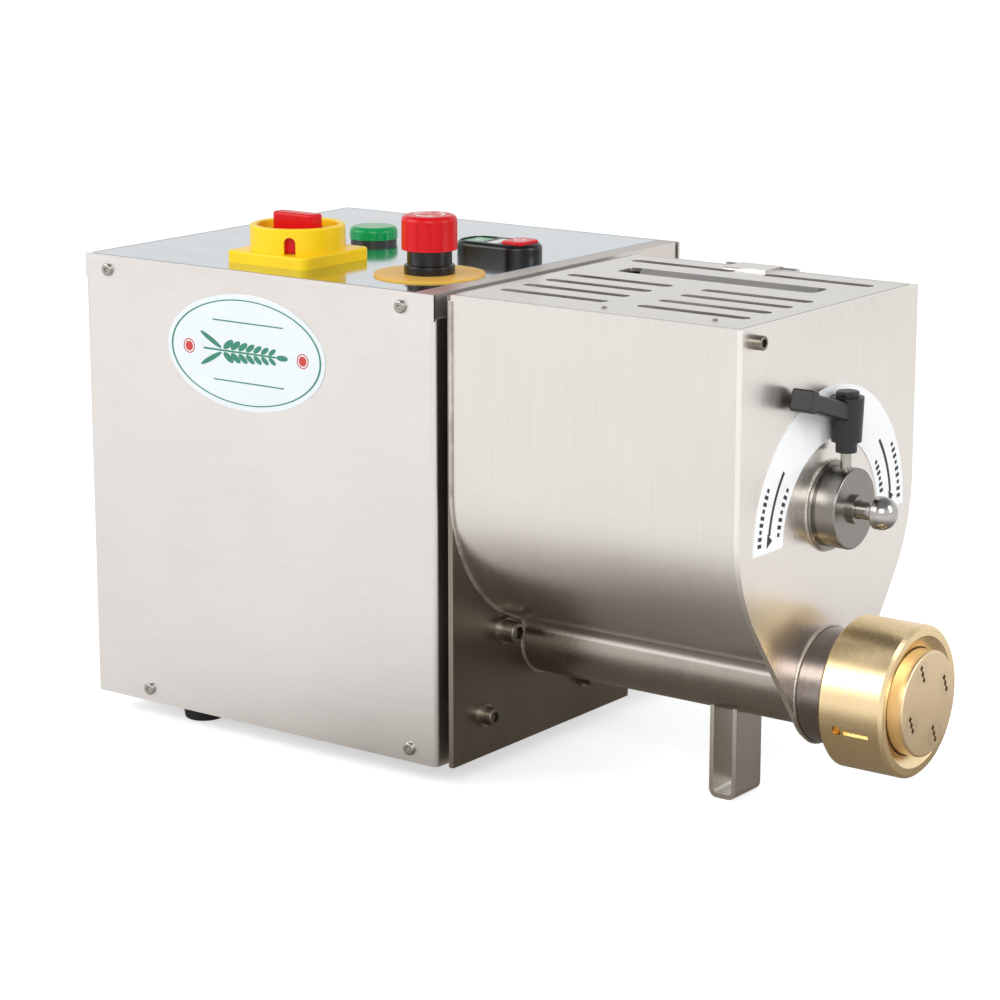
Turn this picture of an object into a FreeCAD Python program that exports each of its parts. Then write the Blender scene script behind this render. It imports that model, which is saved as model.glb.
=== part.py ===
import FreeCAD, Part
import math
import os

# Electric pasta maker: a steel drive housing, a kneading hopper with an extrusion barrel
# in front of it, and the operating devices on the housing's top. Millimetres, +Z up,
# +X from the housing to the die, origin at the middle of the footprint.

os.makedirs("parts", exist_ok=True)
V = FreeCAD.Vector

# Driving dimensions of the housing
housing_length = 247.0
housing_width = 232.0
housing_height = 255.0
sheet = 1.5
bend_radius = 3.0
return_width = 12.0
tab_height = 13.0
tray_sheet = 2.0
tray_upturn = 22.0
bulkhead_thick = 4.0
bulkhead_lip = 12.0
panel_thick = 2.0
panel_flange = 18.0
seam_gap = 0.4

# Feet
foot_height = 12.0
foot_radius = 13.0
foot_from_rear = 59.0
foot_from_side = 26.0
foot_screw_radius = 2.5
foot_seat_share = 0.6
foot_head_gap = 1.0
foot_head_height = 3.0
foot_screw_reach = 12.0
foot_nut_radius = 4.6
foot_nut_height = 4.0
foot_washer_radius = 6.0

# Cover screws, placed from the nearest housing edges
cover_screw_head_radius = 3.7
cover_screw_head_height = 2.0
cover_screw_radius = 2.0
cover_screw_length = 8.0
cover_screw_top_drop = 8.0
cover_screw_top_rear = 17.5
cover_screw_top_front = 22.0
cover_screw_low_rise = 7.5
cover_screw_low_rear = 41.0
cover_screw_low_front = 18.0
rear_screw_inset = 22.0

# Vents and the cable inlet in the rear cover
vent_count = 9
vent_length = 70.0
vent_width = 4.0
vent_pitch = 10.0
vent_rise = 120.0
gland_bore_radius = 4.0
gland_thread_radius = 8.0
gland_flat_radius = 12.0
gland_reach = 24.0
gland_rise = 42.0
gland_offset = 60.0

# Hopper: a round-bottomed trough with its kneader axis above the auger axis
hopper_offset = -26.5
trough_radius = 86.0
trough_sheet = 2.0
hopper_above = 0.5
flange_gap = 5.0
flange_thick = 3.0
flange_width = 170.0
end_plate_front = 184.8
end_plate_thick = 3.0
end_plate_margin = 0.8
end_plate_tail_radius = 30.0
valley_radius = 6.0
barrel_radius = 23.0
barrel_wall = 2.5
corner_block = 12.0
corner_block_width = 19.0
end_screw_offset = 74.7
end_screw_drop = 7.3
end_screw_grip = 9.0

# Socket head screws
m5_radius = 2.5
m5_head_radius = 3.7
m5_head_height = 5.0
m6_radius = 3.0
m6_head_radius = 5.0
m6_head_height = 6.0
m8_radius = 4.0
m8_head_radius = 6.0
m8_head_height = 8.0
washer_thick = 1.4
low_bolt_near = 57.0
low_bolt_far = 36.5
low_bolt_rise = 23.0
valley_bolt_out = 10.4
valley_bolt_up = 0.6
spacer_radius = 9.0

# Lid grille
lid_thick = 2.0
lid_gap = 0.6
lid_hinge_radius = 1.2
lid_hinge_shell = 2.6
lid_hinge_out = 4.2
lid_hinge_drop = 2.0
lid_hinge_share = 0.456
lid_hinge_length = 26.0
lid_hinge_side = 9.0
lid_hinge_gap = 0.4
lid_leaf_thick = 1.2
lid_leaf_reach = 12.0
lid_slot_width = 7.0
lid_slot_length = 66.0
lid_slot_middle = 19.0
lid_row_pitch = 20.0
lid_row_count = 4
lid_first_row = 55.5
lid_feed_length = 123.0
lid_feed_width = 17.0
lid_feed_place = 37.0
lid_feed_corner = 4.0
lid_lip_length = 6.0
lid_lip_thick = 1.5
lid_lip_short = 6.0
lid_far_row = 66.0
ledge_width = 7.0
ledge_thick = 2.0
ledge_gap = 0.2

# Front boss, locking pin and clamp lever
boss_radius = 21.0
boss_length = 15.0
boss_base_radius = 23.0
boss_base_length = 2.5
boss_edge = 1.0
boss_nose_radius = 7.5
boss_nose_length = 2.5
pin_radius = 4.6
pin_engagement = 16.0
pin_neck = 12.4
knob_radius = 8.6
knob_length = 11.0
knob_nose = 0.8
lever_stand = 9.0
stud_radius = 2.8
stud_out = 8.0
lever_hub_radius = 8.6
lever_foot_radius = 5.5
lever_hub_height = 23.0
lever_foot_height = 5.5
lever_cap_radius = 6.0
lever_cap_height = 3.0
lever_arm_length = 48.0
lever_arm_width = 10.0
lever_arm_depth = 9.0
lever_arm_tilt = 17.0
lever_arm_below = 4.0
lever_arm_edge = 1.6
lever_end_length = 7.0
lever_end_grow = 1.2

# Extrusion end: collar, ring nut and die
collar_radius = 30.2
collar_bore = 26.2
collar_length = 37.0
collar_seat_depth = 7.0
nut_radius = 39.5
nut_start = 18.2
nut_length = 36.8
nut_thread_gap = 0.35
nut_lip_radius = 28.2
nut_bevel_depth = 3.5
nut_bevel_width = 6.0
nut_edge = 1.6
nut_hole_radius = 2.6
nut_hole_depth = 7.0
nut_hole_place = 11.0
nut_slot_gap = 1.5
nut_slot_length = 14.0
nut_slot_width = 3.4
nut_slot_depth = 1.2
nut_hole_angle = 195.0
die_flange_radius = 29.9
die_flange_thick = 6.0
die_radius = 27.5
die_proud = 5.5
die_edge = 1.0
insert_count = 4
insert_radius = 7.2
insert_depth = 9.0
insert_circle = 18.6
insert_first_angle = 22.0
insert_hole = 2.4
insert_slit = 0.9

# Strap foot under the barrel
strap_sheet = 2.5
strap_width = 25.0
strap_span = 16.5
strap_from_front = 139.5
strap_bend = 5.0

# Kneader and auger
kneader_auger_gap = 4.0
kneader_tube_radius = 14.0
kneader_end_gap = 2.0
arm_count = 4
arm_radius = 5.0
blade_length = 30.0
blade_width = 16.0
blade_thick = 4.0
blade_twist = 35.0
drive_shaft_radius = 10.0
drive_square = 14.0
auger_radius = 20.0
auger_core_radius = 9.0
auger_pitch = 30.0
auger_flight = 4.0
auger_shaft_radius = 8.0
pinion_shaft_radius = 8.0
running_gap = 0.05
sleeve_gap = 0.3

# Gear train
gear_module = housing_height / 102
kneader_teeth = 46
auger_teeth = 30
pinion_teeth = 16
pinion_angle = -20.0
gear_width = 20.0
gear_backlash = 0.22
gear_root_gap = 0.25
gearbox_wall = 10.0
gearbox_margin = 5.0
gearbox_gap = 5.0
gearbox_corner = 20.0
gear_side_gap = 4.0
bearing_radius = 21.0
bearing_width = 8.0
seal_radius = 16.0

# Motor and electrical parts
motor_radius = 52.0
motor_length = 118.0
motor_flange_radius = 60.0
motor_flange_thick = 8.0
motor_cap_length = 12.0
motor_rib_count = 28
motor_rib_height = 3.0
motor_rib_width = 2.0
capacitor_radius = 18.0
capacitor_length = 75.0
capacitor_from_rear = 75.0
capacitor_from_side = 35.0
contactor_from_rear = 85.0
contactor_from_side = 62.0
contactor_width = 45.0
contactor_depth = 58.0
contactor_height = 62.0
contactor_step = 10.0
contactor_step_height = 18.0
rail_width = 35.0
rail_height = 7.5
rail_length = 120.0
rail_sheet = 1.2
rail_above_capacitor = 14.0
rail_lip = 4.0
rail_leg_inset = 8.0
rail_leg_half = 4.0

# Control devices on the top panel, placed from the front face and the near side
mount_hole_radius = 11.15
contact_block_side = 30.0
contact_block_height = 20.0
main_switch_x = 133.0
main_switch_y = 50.0
switch_plate_side = 56.5
switch_plate_height = 6.5
switch_plate_corner = 4.0
switch_ring_radius = 26.3
switch_ring_height = 14.0
switch_ring_wall = 4.0
switch_window_width = 6.5
switch_window_height = 9.5
switch_window_count = 3
switch_handle_length = 30.0
switch_handle_width = 9.5
switch_handle_rise = 6.0
switch_dish_radius = 21.6
switch_dish_height = 9.0
lamp_x = 140.7
lamp_y = 126.5
lamp_lens_radius = 13.7
lamp_lens_height = 7.0
lamp_base_radius = 13.2
lamp_base_height = 2.6
lamp_stem_radius = 3.0
estop_x = 43.0
estop_y = 52.0
estop_disc_radius = 30.0
estop_disc_thick = 1.0
estop_base_radius = 13.7
estop_base_height = 5.0
estop_neck_radius = 12.1
estop_neck_height = 8.0
estop_cap_radius = 15.0
estop_cap_height = 18.5
estop_flutes = 14
estop_travel = 4.0
estop_overlap = 4.0
estop_stem_radius = 5.0
twin_x = 51.2
twin_y = 126.5
twin_length = 52.0
twin_width = 28.0
twin_height = 8.8
twin_cap_length = 15.0
twin_cap_width = 19.0
twin_cap_offset = 14.0
twin_cap_rise = 1.5
twin_travel = 3.0
twin_lens_length = 9.0
twin_gap = 0.3

# Labels
label_thick = 0.4
oval_length = 112.0
oval_height = 64.0
oval_x = 129.0
oval_z = 210.5
arc_label_inner = 47.5
arc_label_outer = 75.0
arc_label_across = 1.5
arc_label_drop = 13.0

# Places worked out from the driving dimensions
nut_reach = end_plate_front + nut_start + nut_length
die_reach = nut_reach + die_proud
front_x = (housing_length + gland_reach - die_reach) / 2
nut_end = front_x + nut_reach
die_end = front_x + die_reach
rear_x = front_x - housing_length
floor_z = foot_height
top_z = floor_z + housing_height
half_width = housing_width / 2
inner_half = half_width - sheet
trough_y = hopper_offset
lid_z = top_z + hopper_above
bulkhead_front = front_x - sheet
bulkhead_back = bulkhead_front - bulkhead_thick
flange_back = front_x + flange_gap
flange_front = flange_back + flange_thick
end_front = front_x + end_plate_front
end_back = end_front - end_plate_thick
trough_inner = trough_radius - trough_sheet
barrel_bore = barrel_radius - barrel_wall
rear_cover_front = rear_x + 2 * sheet
panel_bottom = top_z - panel_thick
kneader_gear_tip = gear_module * (kneader_teeth / 2 + 1)
gearbox_top = panel_bottom - contact_block_height - gearbox_gap
kneader_z = gearbox_top - gearbox_wall - gearbox_margin - kneader_gear_tip
auger_z = kneader_z - gear_module * (kneader_teeth + auger_teeth) / 2
kneader_tip_radius = kneader_z - auger_z - auger_radius - kneader_auger_gap


def box(x0, x1, y0, y1, z0, z1):
    return Part.makeBox(x1 - x0, y1 - y0, z1 - z0, V(x0, y0, z0))


def rod_x(radius, x0, x1, y, z):
    return Part.makeCylinder(radius, x1 - x0, V(x0, y, z), V(1, 0, 0))


def rod_y(radius, x, y0, y1, z):
    return Part.makeCylinder(radius, y1 - y0, V(x, y0, z), V(0, 1, 0))


def rod_z(radius, x, y, z0, z1):
    return Part.makeCylinder(radius, z1 - z0, V(x, y, z0), V(0, 0, 1))


def tube_x(outer, inner, x0, x1, y, z):
    return rod_x(outer, x0, x1, y, z).cut(rod_x(inner, x0 - 1, x1 + 1, y, z))


def tube_z(outer, inner, x, y, z0, z1):
    return rod_z(outer, x, y, z0, z1).cut(rod_z(inner, x, y, z0 - 1, z1 + 1))


def rounded_prism_x(y0, y1, z0, z1, radius, x0, x1):
    # A bar along X whose four long edges are rounded
    solid = box(x0, x1, y0, y1, z0, z1)
    edges = [e for e in solid.Edges if abs(e.BoundBox.XLength - (x1 - x0)) < 1e-6]
    return solid.makeFillet(radius, edges)


def rounded_prism_z(x0, x1, y0, y1, radius, z0, z1):
    # A block whose four upright edges are rounded
    solid = box(x0, x1, y0, y1, z0, z1)
    edges = [e for e in solid.Edges if abs(e.BoundBox.ZLength - (z1 - z0)) < 1e-6]
    return solid.makeFillet(radius, edges)


def stadium_z(length, width, x, y, z0, z1):
    # A bar with round ends, lying along X
    half = (length - width) / 2
    solid = box(x - half, x + half, y - width / 2, y + width / 2, z0, z1)
    solid = solid.fuse(rod_z(width / 2, x - half, y, z0, z1))
    return solid.fuse(rod_z(width / 2, x + half, y, z0, z1)).removeSplitter()


def rim_edges(solid, axis, place, tolerance=1e-4):
    # Edges that lie wholly in the plane where the given coordinate has the given value
    low, high = axis + "Min", axis + "Max"
    found = []
    for edge in solid.Edges:
        bound = edge.BoundBox
        flat = abs(getattr(bound, low) - place) < tolerance and abs(getattr(bound, high) - place) < tolerance
        if flat:
            found.append(edge)
    return found


def fuse_all(solids):
    joined = solids[0]
    if len(solids) > 1:
        joined = joined.fuse(solids[1:])
    return joined.removeSplitter()


def cut_all(solid, tools):
    return solid.cut(tools) if tools else solid


def group(solids):
    return Part.makeCompound(solids)


def export(name, shape):
    solids = shape.Solids
    for solid in solids:
        if not solid.isValid():
            print("invalid", name)
    shape.exportStep("parts/" + name + ".step")
    volume = sum(s.Volume for s in solids)
    print(name, len(solids), "solid(s)", round(volume / 1000, 2), "cm3")


def socket_screw(radius, head_radius, head_height, length, x, y, z):
    # A socket head screw along -X, its head's underside at x
    head = rod_x(head_radius, x, x + head_height, y, z)
    head = head.makeFillet(head_height * 0.12, rim_edges(head, "X", x + head_height))
    screw = head.fuse(rod_x(radius, x - length, x, y, z))
    return screw.cut(hexagon_x(radius * 0.95, x + head_height * 0.45, x + head_height + 1, y, z))


def hexagon_x(radius, x0, x1, y, z):
    points = []
    for k in range(7):
        angle = math.radians(60 * k)
        points.append(V(x0, y + radius * math.cos(angle), z + radius * math.sin(angle)))
    return Part.Face(Part.makePolygon(points)).extrude(V(x1 - x0, 0, 0))


def hexagon_y(radius, x, y0, y1, z):
    points = []
    for k in range(7):
        angle = math.radians(60 * k)
        points.append(V(x + radius * math.cos(angle), y0, z + radius * math.sin(angle)))
    return Part.Face(Part.makePolygon(points)).extrude(V(0, y1 - y0, 0))


# Screw places in the housing's sheets

def side_screw_places():
    top = top_z - cover_screw_top_drop
    low = floor_z + cover_screw_low_rise
    yield rear_x + cover_screw_top_rear, top
    yield front_x - cover_screw_top_front, top
    yield rear_x + cover_screw_low_rear, low
    yield front_x - cover_screw_low_front, low


def rear_screw_places():
    for side in (-1, 1):
        yield side * (inner_half - rear_screw_inset), top_z - cover_screw_top_drop
        yield side * (inner_half - rear_screw_inset), floor_z + tray_upturn / 2


def screw_holes(radius):
    holes = []
    for x, z in side_screw_places():
        holes.append(rod_y(radius, x, -half_width - 5, half_width + 5, z))
    for y, z in rear_screw_places():
        holes.append(rod_x(radius, rear_x - 5, rear_x + 15, y, z))
    return holes


def foot_places():
    for side in (-1, 1):
        yield rear_x + foot_from_rear, side * (half_width - foot_from_side)


# Housing

def cover_profile(side):
    # The bent sheet seen from above: a long web with a return at each end
    outer = side * half_width
    inner = side * (half_width - return_width)
    web = box(rear_x, front_x, min(outer, inner), max(outer, inner), floor_z, top_z - tab_height)
    edges = []
    for edge in web.Edges:
        upright = edge.BoundBox.ZLength > 1
        if upright and abs(edge.BoundBox.YMin - outer) < 1e-6:
            edges.append(edge)
    web = web.makeFillet(bend_radius, edges)
    y_in = side * (half_width - sheet)
    y_far = side * (half_width - return_width - 1)
    hollow = box(rear_x + sheet, front_x - sheet, min(y_in, y_far), max(y_in, y_far),
                 floor_z - 1, top_z)
    inner_edges = []
    for edge in hollow.Edges:
        upright = edge.BoundBox.ZLength > 1
        if upright and abs(edge.BoundBox.YMin - y_in) < 1e-6:
            inner_edges.append(edge)
    hollow = hollow.makeFillet(bend_radius - sheet, inner_edges)
    return web.cut(hollow)


def side_cover(side):
    outer = side * half_width
    inner = side * inner_half
    tab = box(rear_x + seam_gap, front_x - seam_gap, min(outer, inner), max(outer, inner),
              top_z - tab_height - 1, top_z)
    cover = cover_profile(side).fuse(tab).removeSplitter()
    return cut_all(cover, screw_holes(cover_screw_radius + 0.2))


def base_tray():
    x0 = rear_cover_front
    x1 = bulkhead_back
    tray = box(x0, x1, -inner_half, inner_half, floor_z, floor_z + tray_upturn)
    hollow = box(x0 + tray_sheet, x1 + 1, -inner_half + tray_sheet, inner_half - tray_sheet,
                 floor_z + tray_sheet, floor_z + tray_upturn + 1)
    tools = [hollow] + screw_holes(cover_screw_radius)
    for x, y in foot_places():
        tools.append(rod_z(foot_screw_radius + 0.2, x, y, floor_z - 1, floor_z + 5))
    return cut_all(tray, tools)


def rear_cover():
    plate = box(rear_x + sheet, rear_cover_front, -inner_half + bend_radius, inner_half - bend_radius,
                floor_z, top_z)
    tools = screw_holes(cover_screw_radius + 0.2)
    tools.append(rod_x(gland_thread_radius + 0.2, rear_x, rear_x + 10, gland_offset, floor_z + gland_rise))
    for k in range(vent_count):
        z = floor_z + vent_rise + k * vent_pitch
        for side in (-1, 1):
            y = side * inner_half / 2
            slot = box(rear_x, rear_x + 10, y - vent_length / 2, y + vent_length / 2,
                       z - vent_width / 2, z + vent_width / 2)
            tools.append(slot)
    return cut_all(plate, tools)


def front_bulkhead():
    half = inner_half - bend_radius + sheet
    plate = box(bulkhead_back, bulkhead_front, -half, half, floor_z, top_z)
    lip = box(bulkhead_front - bulkhead_lip, bulkhead_front, -half, half, panel_bottom, top_z)
    solid = fuse_all([plate, lip])
    tools = [
        rod_x(seal_radius + 6, front_x - 20, front_x + 2, trough_y, kneader_z),
        rod_x(seal_radius + 4, front_x - 20, front_x + 2, trough_y, auger_z),
    ]
    for y, z, radius in flange_bolt_places():
        tools.append(rod_x(radius + 0.2, front_x - 20, front_x + 2, y, z))
    return cut_all(solid, tools)


def top_panel():
    x0 = rear_cover_front
    x1 = bulkhead_front - bulkhead_lip - seam_gap
    y1 = inner_half - seam_gap
    plate = box(x0, x1, -y1, y1, panel_bottom, top_z)
    plate = plate.makeFillet(panel_thick * 0.4, rim_edges(plate, "Z", top_z))
    pieces = [plate]
    for side in (-1, 1):
        outer = side * y1
        inner = side * (y1 - panel_thick)
        pieces.append(box(x0, x1, min(outer, inner), max(outer, inner), top_z - panel_flange, panel_bottom))
    pieces.append(box(x0, x0 + panel_thick, -y1, y1, top_z - panel_flange, panel_bottom))
    tools = screw_holes(cover_screw_radius)
    for x, y in (main_switch_place(), lamp_place(), estop_place()):
        tools.append(rod_z(mount_hole_radius, x, y, panel_bottom - 1, top_z + 1))
    x, y = twin_place()
    tools.append(stadium_z(twin_length - 10, twin_width - 8, x, y, panel_bottom - 1, top_z + 1))
    return cut_all(fuse_all(pieces), tools)


def cover_screws():
    screws = []
    for side in (-1, 1):
        face = side * half_width
        for x, z in side_screw_places():
            y0, y1 = sorted((face, face + side * cover_screw_head_height))
            head = rod_y(cover_screw_head_radius, x, y0, y1, z)
            crown = y1 if side > 0 else y0
            head = head.makeFillet(cover_screw_head_height * 0.7, rim_edges(head, "Y", crown))
            s0, s1 = sorted((face, face - side * cover_screw_length))
            screw = head.fuse(rod_y(cover_screw_radius, x, s0, s1, z))
            k0, k1 = sorted((face + side * 0.7, face + side * 4))
            screws.append(screw.cut(hexagon_y(cover_screw_radius * 0.65, x, k0, k1, z)))
    for y, z in rear_screw_places():
        x = rear_x + sheet
        head = rod_x(cover_screw_head_radius, x - cover_screw_head_height, x, y, z)
        head = head.makeFillet(cover_screw_head_height * 0.7,
                               rim_edges(head, "X", x - cover_screw_head_height))
        screw = head.fuse(rod_x(cover_screw_radius, x, x + cover_screw_length, y, z))
        screws.append(screw.cut(hexagon_x(cover_screw_radius * 0.65, x - 4, x - 0.7, y, z)))
    return group(screws)


def rubber_feet():
    feet = []
    for x, y in foot_places():
        foot = Part.makeCone(foot_radius * 0.86, foot_radius, foot_height, V(x, y, 0), V(0, 0, 1))
        foot = foot.makeFillet(1.2, rim_edges(foot, "Z", 0.0))
        foot = foot.cut(rod_z(foot_washer_radius, x, y, -1, foot_height * foot_seat_share))
        feet.append(foot.cut(rod_z(foot_screw_radius + 0.2, x, y, 0, foot_height + 1)))
    return group(feet)


def foot_screws():
    screws = []
    for x, y in foot_places():
        seat = foot_height * foot_seat_share
        head = rod_z(foot_washer_radius - foot_head_gap, x, y, seat - foot_head_height, seat)
        shank = rod_z(foot_screw_radius, x, y, seat, floor_z + foot_screw_reach)
        screws.append(head.fuse(shank))
    return group(screws)


def foot_nuts():
    nuts = []
    for x, y in foot_places():
        z0 = floor_z + tray_sheet
        points = []
        for k in range(7):
            angle = math.radians(60 * k)
            points.append(V(x + foot_nut_radius * math.cos(angle),
                            y + foot_nut_radius * math.sin(angle), z0))
        nut = Part.Face(Part.makePolygon(points)).extrude(V(0, 0, foot_nut_height))
        nuts.append(nut.cut(rod_z(foot_screw_radius + running_gap, x, y, z0 - 1, z0 + foot_nut_height + 1)))
    return group(nuts)


def cable_gland():
    y = gland_offset
    z = floor_z + gland_rise
    inside = rear_cover_front + 12
    flange = hexagon_x(gland_flat_radius, rear_x + sheet - 5, rear_x + sheet, y, z)
    thread = rod_x(gland_thread_radius, rear_x + sheet - 8, inside, y, z)
    body = flange.fuse(thread)
    return body.cut(rod_x(gland_bore_radius, rear_x - 30, inside + 1, y, z))


def gland_cap():
    y = gland_offset
    z = floor_z + gland_rise
    x1 = rear_x + sheet - 5
    x0 = rear_x - gland_reach
    dome = Part.makeCone(gland_flat_radius * 0.62, gland_flat_radius * 0.95, 9, V(x0, y, z), V(1, 0, 0))
    cap = dome.fuse(hexagon_x(gland_flat_radius, x0 + 9, x1, y, z))
    cap = cap.cut(rod_x(gland_bore_radius, x0 - 1, x1 + 1, y, z))
    return cap.cut(rod_x(gland_thread_radius + 0.1, x1 - 3, x1 + 1, y, z))


def gland_locknut():
    y = gland_offset
    z = floor_z + gland_rise
    nut = hexagon_x(gland_flat_radius, rear_cover_front, rear_cover_front + 4, y, z)
    return nut.cut(rod_x(gland_thread_radius + 0.05, rear_cover_front - 1, rear_cover_front + 5, y, z))


# Hopper

def flange_bolt_places():
    # Lower pair of M6 screws, then the pair of M8 screws in the valleys beside the barrel
    yield trough_y - low_bolt_near, floor_z + low_bolt_rise, m6_radius
    yield trough_y + low_bolt_far, floor_z + low_bolt_rise, m6_radius
    out, z = valley_points()
    for side in (-1, 1):
        yield trough_y + side * (out + valley_bolt_out), z + valley_bolt_up, m8_radius


def flange_plate():
    y0 = trough_y - flange_width / 2
    plate = box(flange_back, flange_front, y0, y0 + flange_width, floor_z, top_z)
    notch = box(flange_back - 1, flange_front + 1, y0 + flange_width - 4, y0 + flange_width + 1,
                floor_z - 1, floor_z + 4)
    tools = [
        notch,
        rod_x(seal_radius, flange_back - 1, flange_front + 1, trough_y, kneader_z),
        rod_x(seal_radius, flange_back - 1, flange_front + 1, trough_y, auger_z),
    ]
    for y, z, radius in flange_bolt_places():
        tools.append(rod_x(radius + 0.2, flange_back - 1, flange_front + 1, y, z))
    return cut_all(plate, tools)


def flange_screws():
    screws = []
    for y, z, radius in flange_bolt_places():
        large = radius > m6_radius
        head_radius = m8_head_radius if large else m6_head_radius
        head_height = m8_head_height if large else m6_head_height
        seat = flange_front + washer_thick
        length = seat - bulkhead_back + 6
        screws.append(socket_screw(radius, head_radius, head_height, length, seat, y, z))
    return group(screws)


def flange_washers():
    rings = []
    for y, z, radius in flange_bolt_places():
        rings.append(tube_x(radius + 3.4, radius + 0.2, flange_front, flange_front + washer_thick, y, z))
    return group(rings)


def flange_spacers():
    rings = []
    for y, z, radius in flange_bolt_places():
        rings.append(tube_x(spacer_radius, radius + 0.2, bulkhead_front, flange_back, y, z))
    return group(rings)


def trough_face(radius, half, x):
    # Round bottom, straight sides up to the lid's level
    left = V(x, trough_y - half, lid_z)
    right = V(x, trough_y + half, lid_z)
    low_left = V(x, trough_y - half, kneader_z)
    low_right = V(x, trough_y + half, kneader_z)
    bottom = V(x, trough_y, kneader_z - radius)
    edges = [
        Part.makeLine(left, low_left),
        Part.Arc(low_left, bottom, low_right).toShape(),
        Part.makeLine(low_right, right),
        Part.makeLine(right, left),
    ]
    return Part.Face(Part.Wire(edges))


def valley_points():
    # Centre of the fillet circle that touches the trough and the barrel from outside
    far = trough_radius + valley_radius
    near = barrel_radius + valley_radius
    apart = kneader_z - auger_z
    rise = (near ** 2 - far ** 2 + apart ** 2) / (2 * apart)
    out = math.sqrt(near ** 2 - rise ** 2)
    return out, auger_z + rise


def hopper_shell():
    length = end_back - flange_front
    outer = trough_face(trough_radius, trough_radius, flange_front).extrude(V(length, 0, 0))
    out, z = valley_points()
    scale_top = trough_radius / (trough_radius + valley_radius)
    top_y = out * scale_top
    top_at = kneader_z + (z - kneader_z) * scale_top
    scale_low = barrel_radius / (barrel_radius + valley_radius)
    low_y = out * scale_low
    low_at = auger_z + (z - auger_z) * scale_low
    corners = [V(flange_front, trough_y - top_y, top_at), V(flange_front, trough_y + top_y, top_at),
               V(flange_front, trough_y + low_y, low_at), V(flange_front, trough_y - low_y, low_at)]
    wedge = Part.Face(Part.makePolygon(corners + corners[:1])).extrude(V(length, 0, 0))
    hollows = [rod_x(valley_radius, flange_front - 1, end_back + 1, trough_y + side * out, z)
               for side in (-1, 1)]
    outer = outer.fuse(wedge.cut(hollows))
    inner = trough_face(trough_inner, trough_inner, flange_front - 1).extrude(V(length + 2, 0, 0))
    inner = inner.fuse(box(flange_front - 1, end_back + 1, trough_y - trough_inner, trough_y + trough_inner,
                           lid_z - 1, lid_z + 1))
    barrel = rod_x(barrel_radius, flange_front - 1, end_back + 1, trough_y, auger_z)
    shell = outer.cut([inner, barrel]).removeSplitter()
    return group(shell.Solids)


def extrusion_barrel():
    tube = tube_x(barrel_radius, barrel_bore, flange_front, end_front, trough_y, auger_z)
    mouth = rod_x(trough_inner, flange_front - 1, end_back, trough_y, kneader_z)
    return tube.cut(mouth)


def end_screw_place():
    return trough_y - end_screw_offset, lid_z - end_screw_drop


def corner_block_solid():
    # The block in the near corner that takes the end plate's screw
    y0 = trough_y - trough_inner
    z1 = lid_z - lid_thick - ledge_gap - ledge_thick
    block = box(end_back - corner_block, end_back, y0, y0 + corner_block_width, z1 - corner_block, z1)
    y, z = end_screw_place()
    return block.cut(rod_x(m5_radius, end_back - corner_block - 1, end_back + 1, y, z))


def end_plate():
    radius = trough_radius + end_plate_margin
    apart = kneader_z - auger_z
    lean = math.asin((radius - end_plate_tail_radius) / apart)
    x = end_back

    def on(centre_z, r, side, angle):
        return V(x, trough_y + side * r * math.cos(angle), centre_z - r * math.sin(angle))

    top_left = V(x, trough_y - radius, lid_z)
    top_right = V(x, trough_y + radius, lid_z)
    bottom = V(x, trough_y, auger_z - end_plate_tail_radius)
    edges = [
        Part.makeLine(top_right, top_left),
        Part.makeLine(top_left, on(kneader_z, radius, -1, 0)),
        Part.Arc(on(kneader_z, radius, -1, 0), on(kneader_z, radius, -1, lean / 2),
                 on(kneader_z, radius, -1, lean)).toShape(),
        Part.makeLine(on(kneader_z, radius, -1, lean), on(auger_z, end_plate_tail_radius, -1, lean)),
        Part.Arc(on(auger_z, end_plate_tail_radius, -1, lean), bottom,
                 on(auger_z, end_plate_tail_radius, 1, lean)).toShape(),
        Part.makeLine(on(auger_z, end_plate_tail_radius, 1, lean), on(kneader_z, radius, 1, lean)),
        Part.Arc(on(kneader_z, radius, 1, lean), on(kneader_z, radius, 1, lean / 2),
                 on(kneader_z, radius, 1, 0)).toShape(),
        Part.makeLine(on(kneader_z, radius, 1, 0), top_right),
    ]
    plate = Part.Face(Part.Wire(edges)).extrude(V(end_plate_thick, 0, 0))
    tools = [
        rod_x(barrel_radius, end_back - 1, end_front + 1, trough_y, auger_z),
        rod_x(pin_radius + sleeve_gap, end_back - 1, end_front + 1, trough_y, kneader_z),
        rod_x(m5_radius + 0.2, end_back - 1, end_front + 1, *end_screw_place()),
    ]
    return cut_all(plate, tools)


def end_plate_screw():
    return socket_screw(m5_radius, m5_head_radius, m5_head_height, end_plate_thick + end_screw_grip,
                        end_front, *end_screw_place())


def strap_foot():
    x1 = front_x + strap_from_front
    x0 = x1 - strap_span
    y0 = trough_y - strap_width / 2
    strap = box(x0, x1, y0, y0 + strap_width, 0, auger_z)
    low_edges = [e for e in rim_edges(strap, "Z", 0.0) if e.BoundBox.YLength > 1]
    strap = strap.makeFillet(strap_bend, low_edges)
    hollow = box(x0 + strap_sheet, x1 - strap_sheet, y0 - 1, y0 + strap_width + 1, strap_sheet, auger_z + 1)
    hollow_edges = [e for e in rim_edges(hollow, "Z", strap_sheet) if e.BoundBox.YLength > 1]
    hollow = hollow.makeFillet(strap_bend - strap_sheet, hollow_edges)
    strap = strap.cut(hollow)
    return strap.cut(rod_x(barrel_radius, x0 - 1, x1 + 1, trough_y, auger_z))


# Lid grille and its hinge

def lid_hinge_place():
    x = flange_front + lid_hinge_share * (end_back - flange_front)
    return x, trough_y + trough_radius + lid_hinge_out, lid_z - lid_hinge_drop


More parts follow.
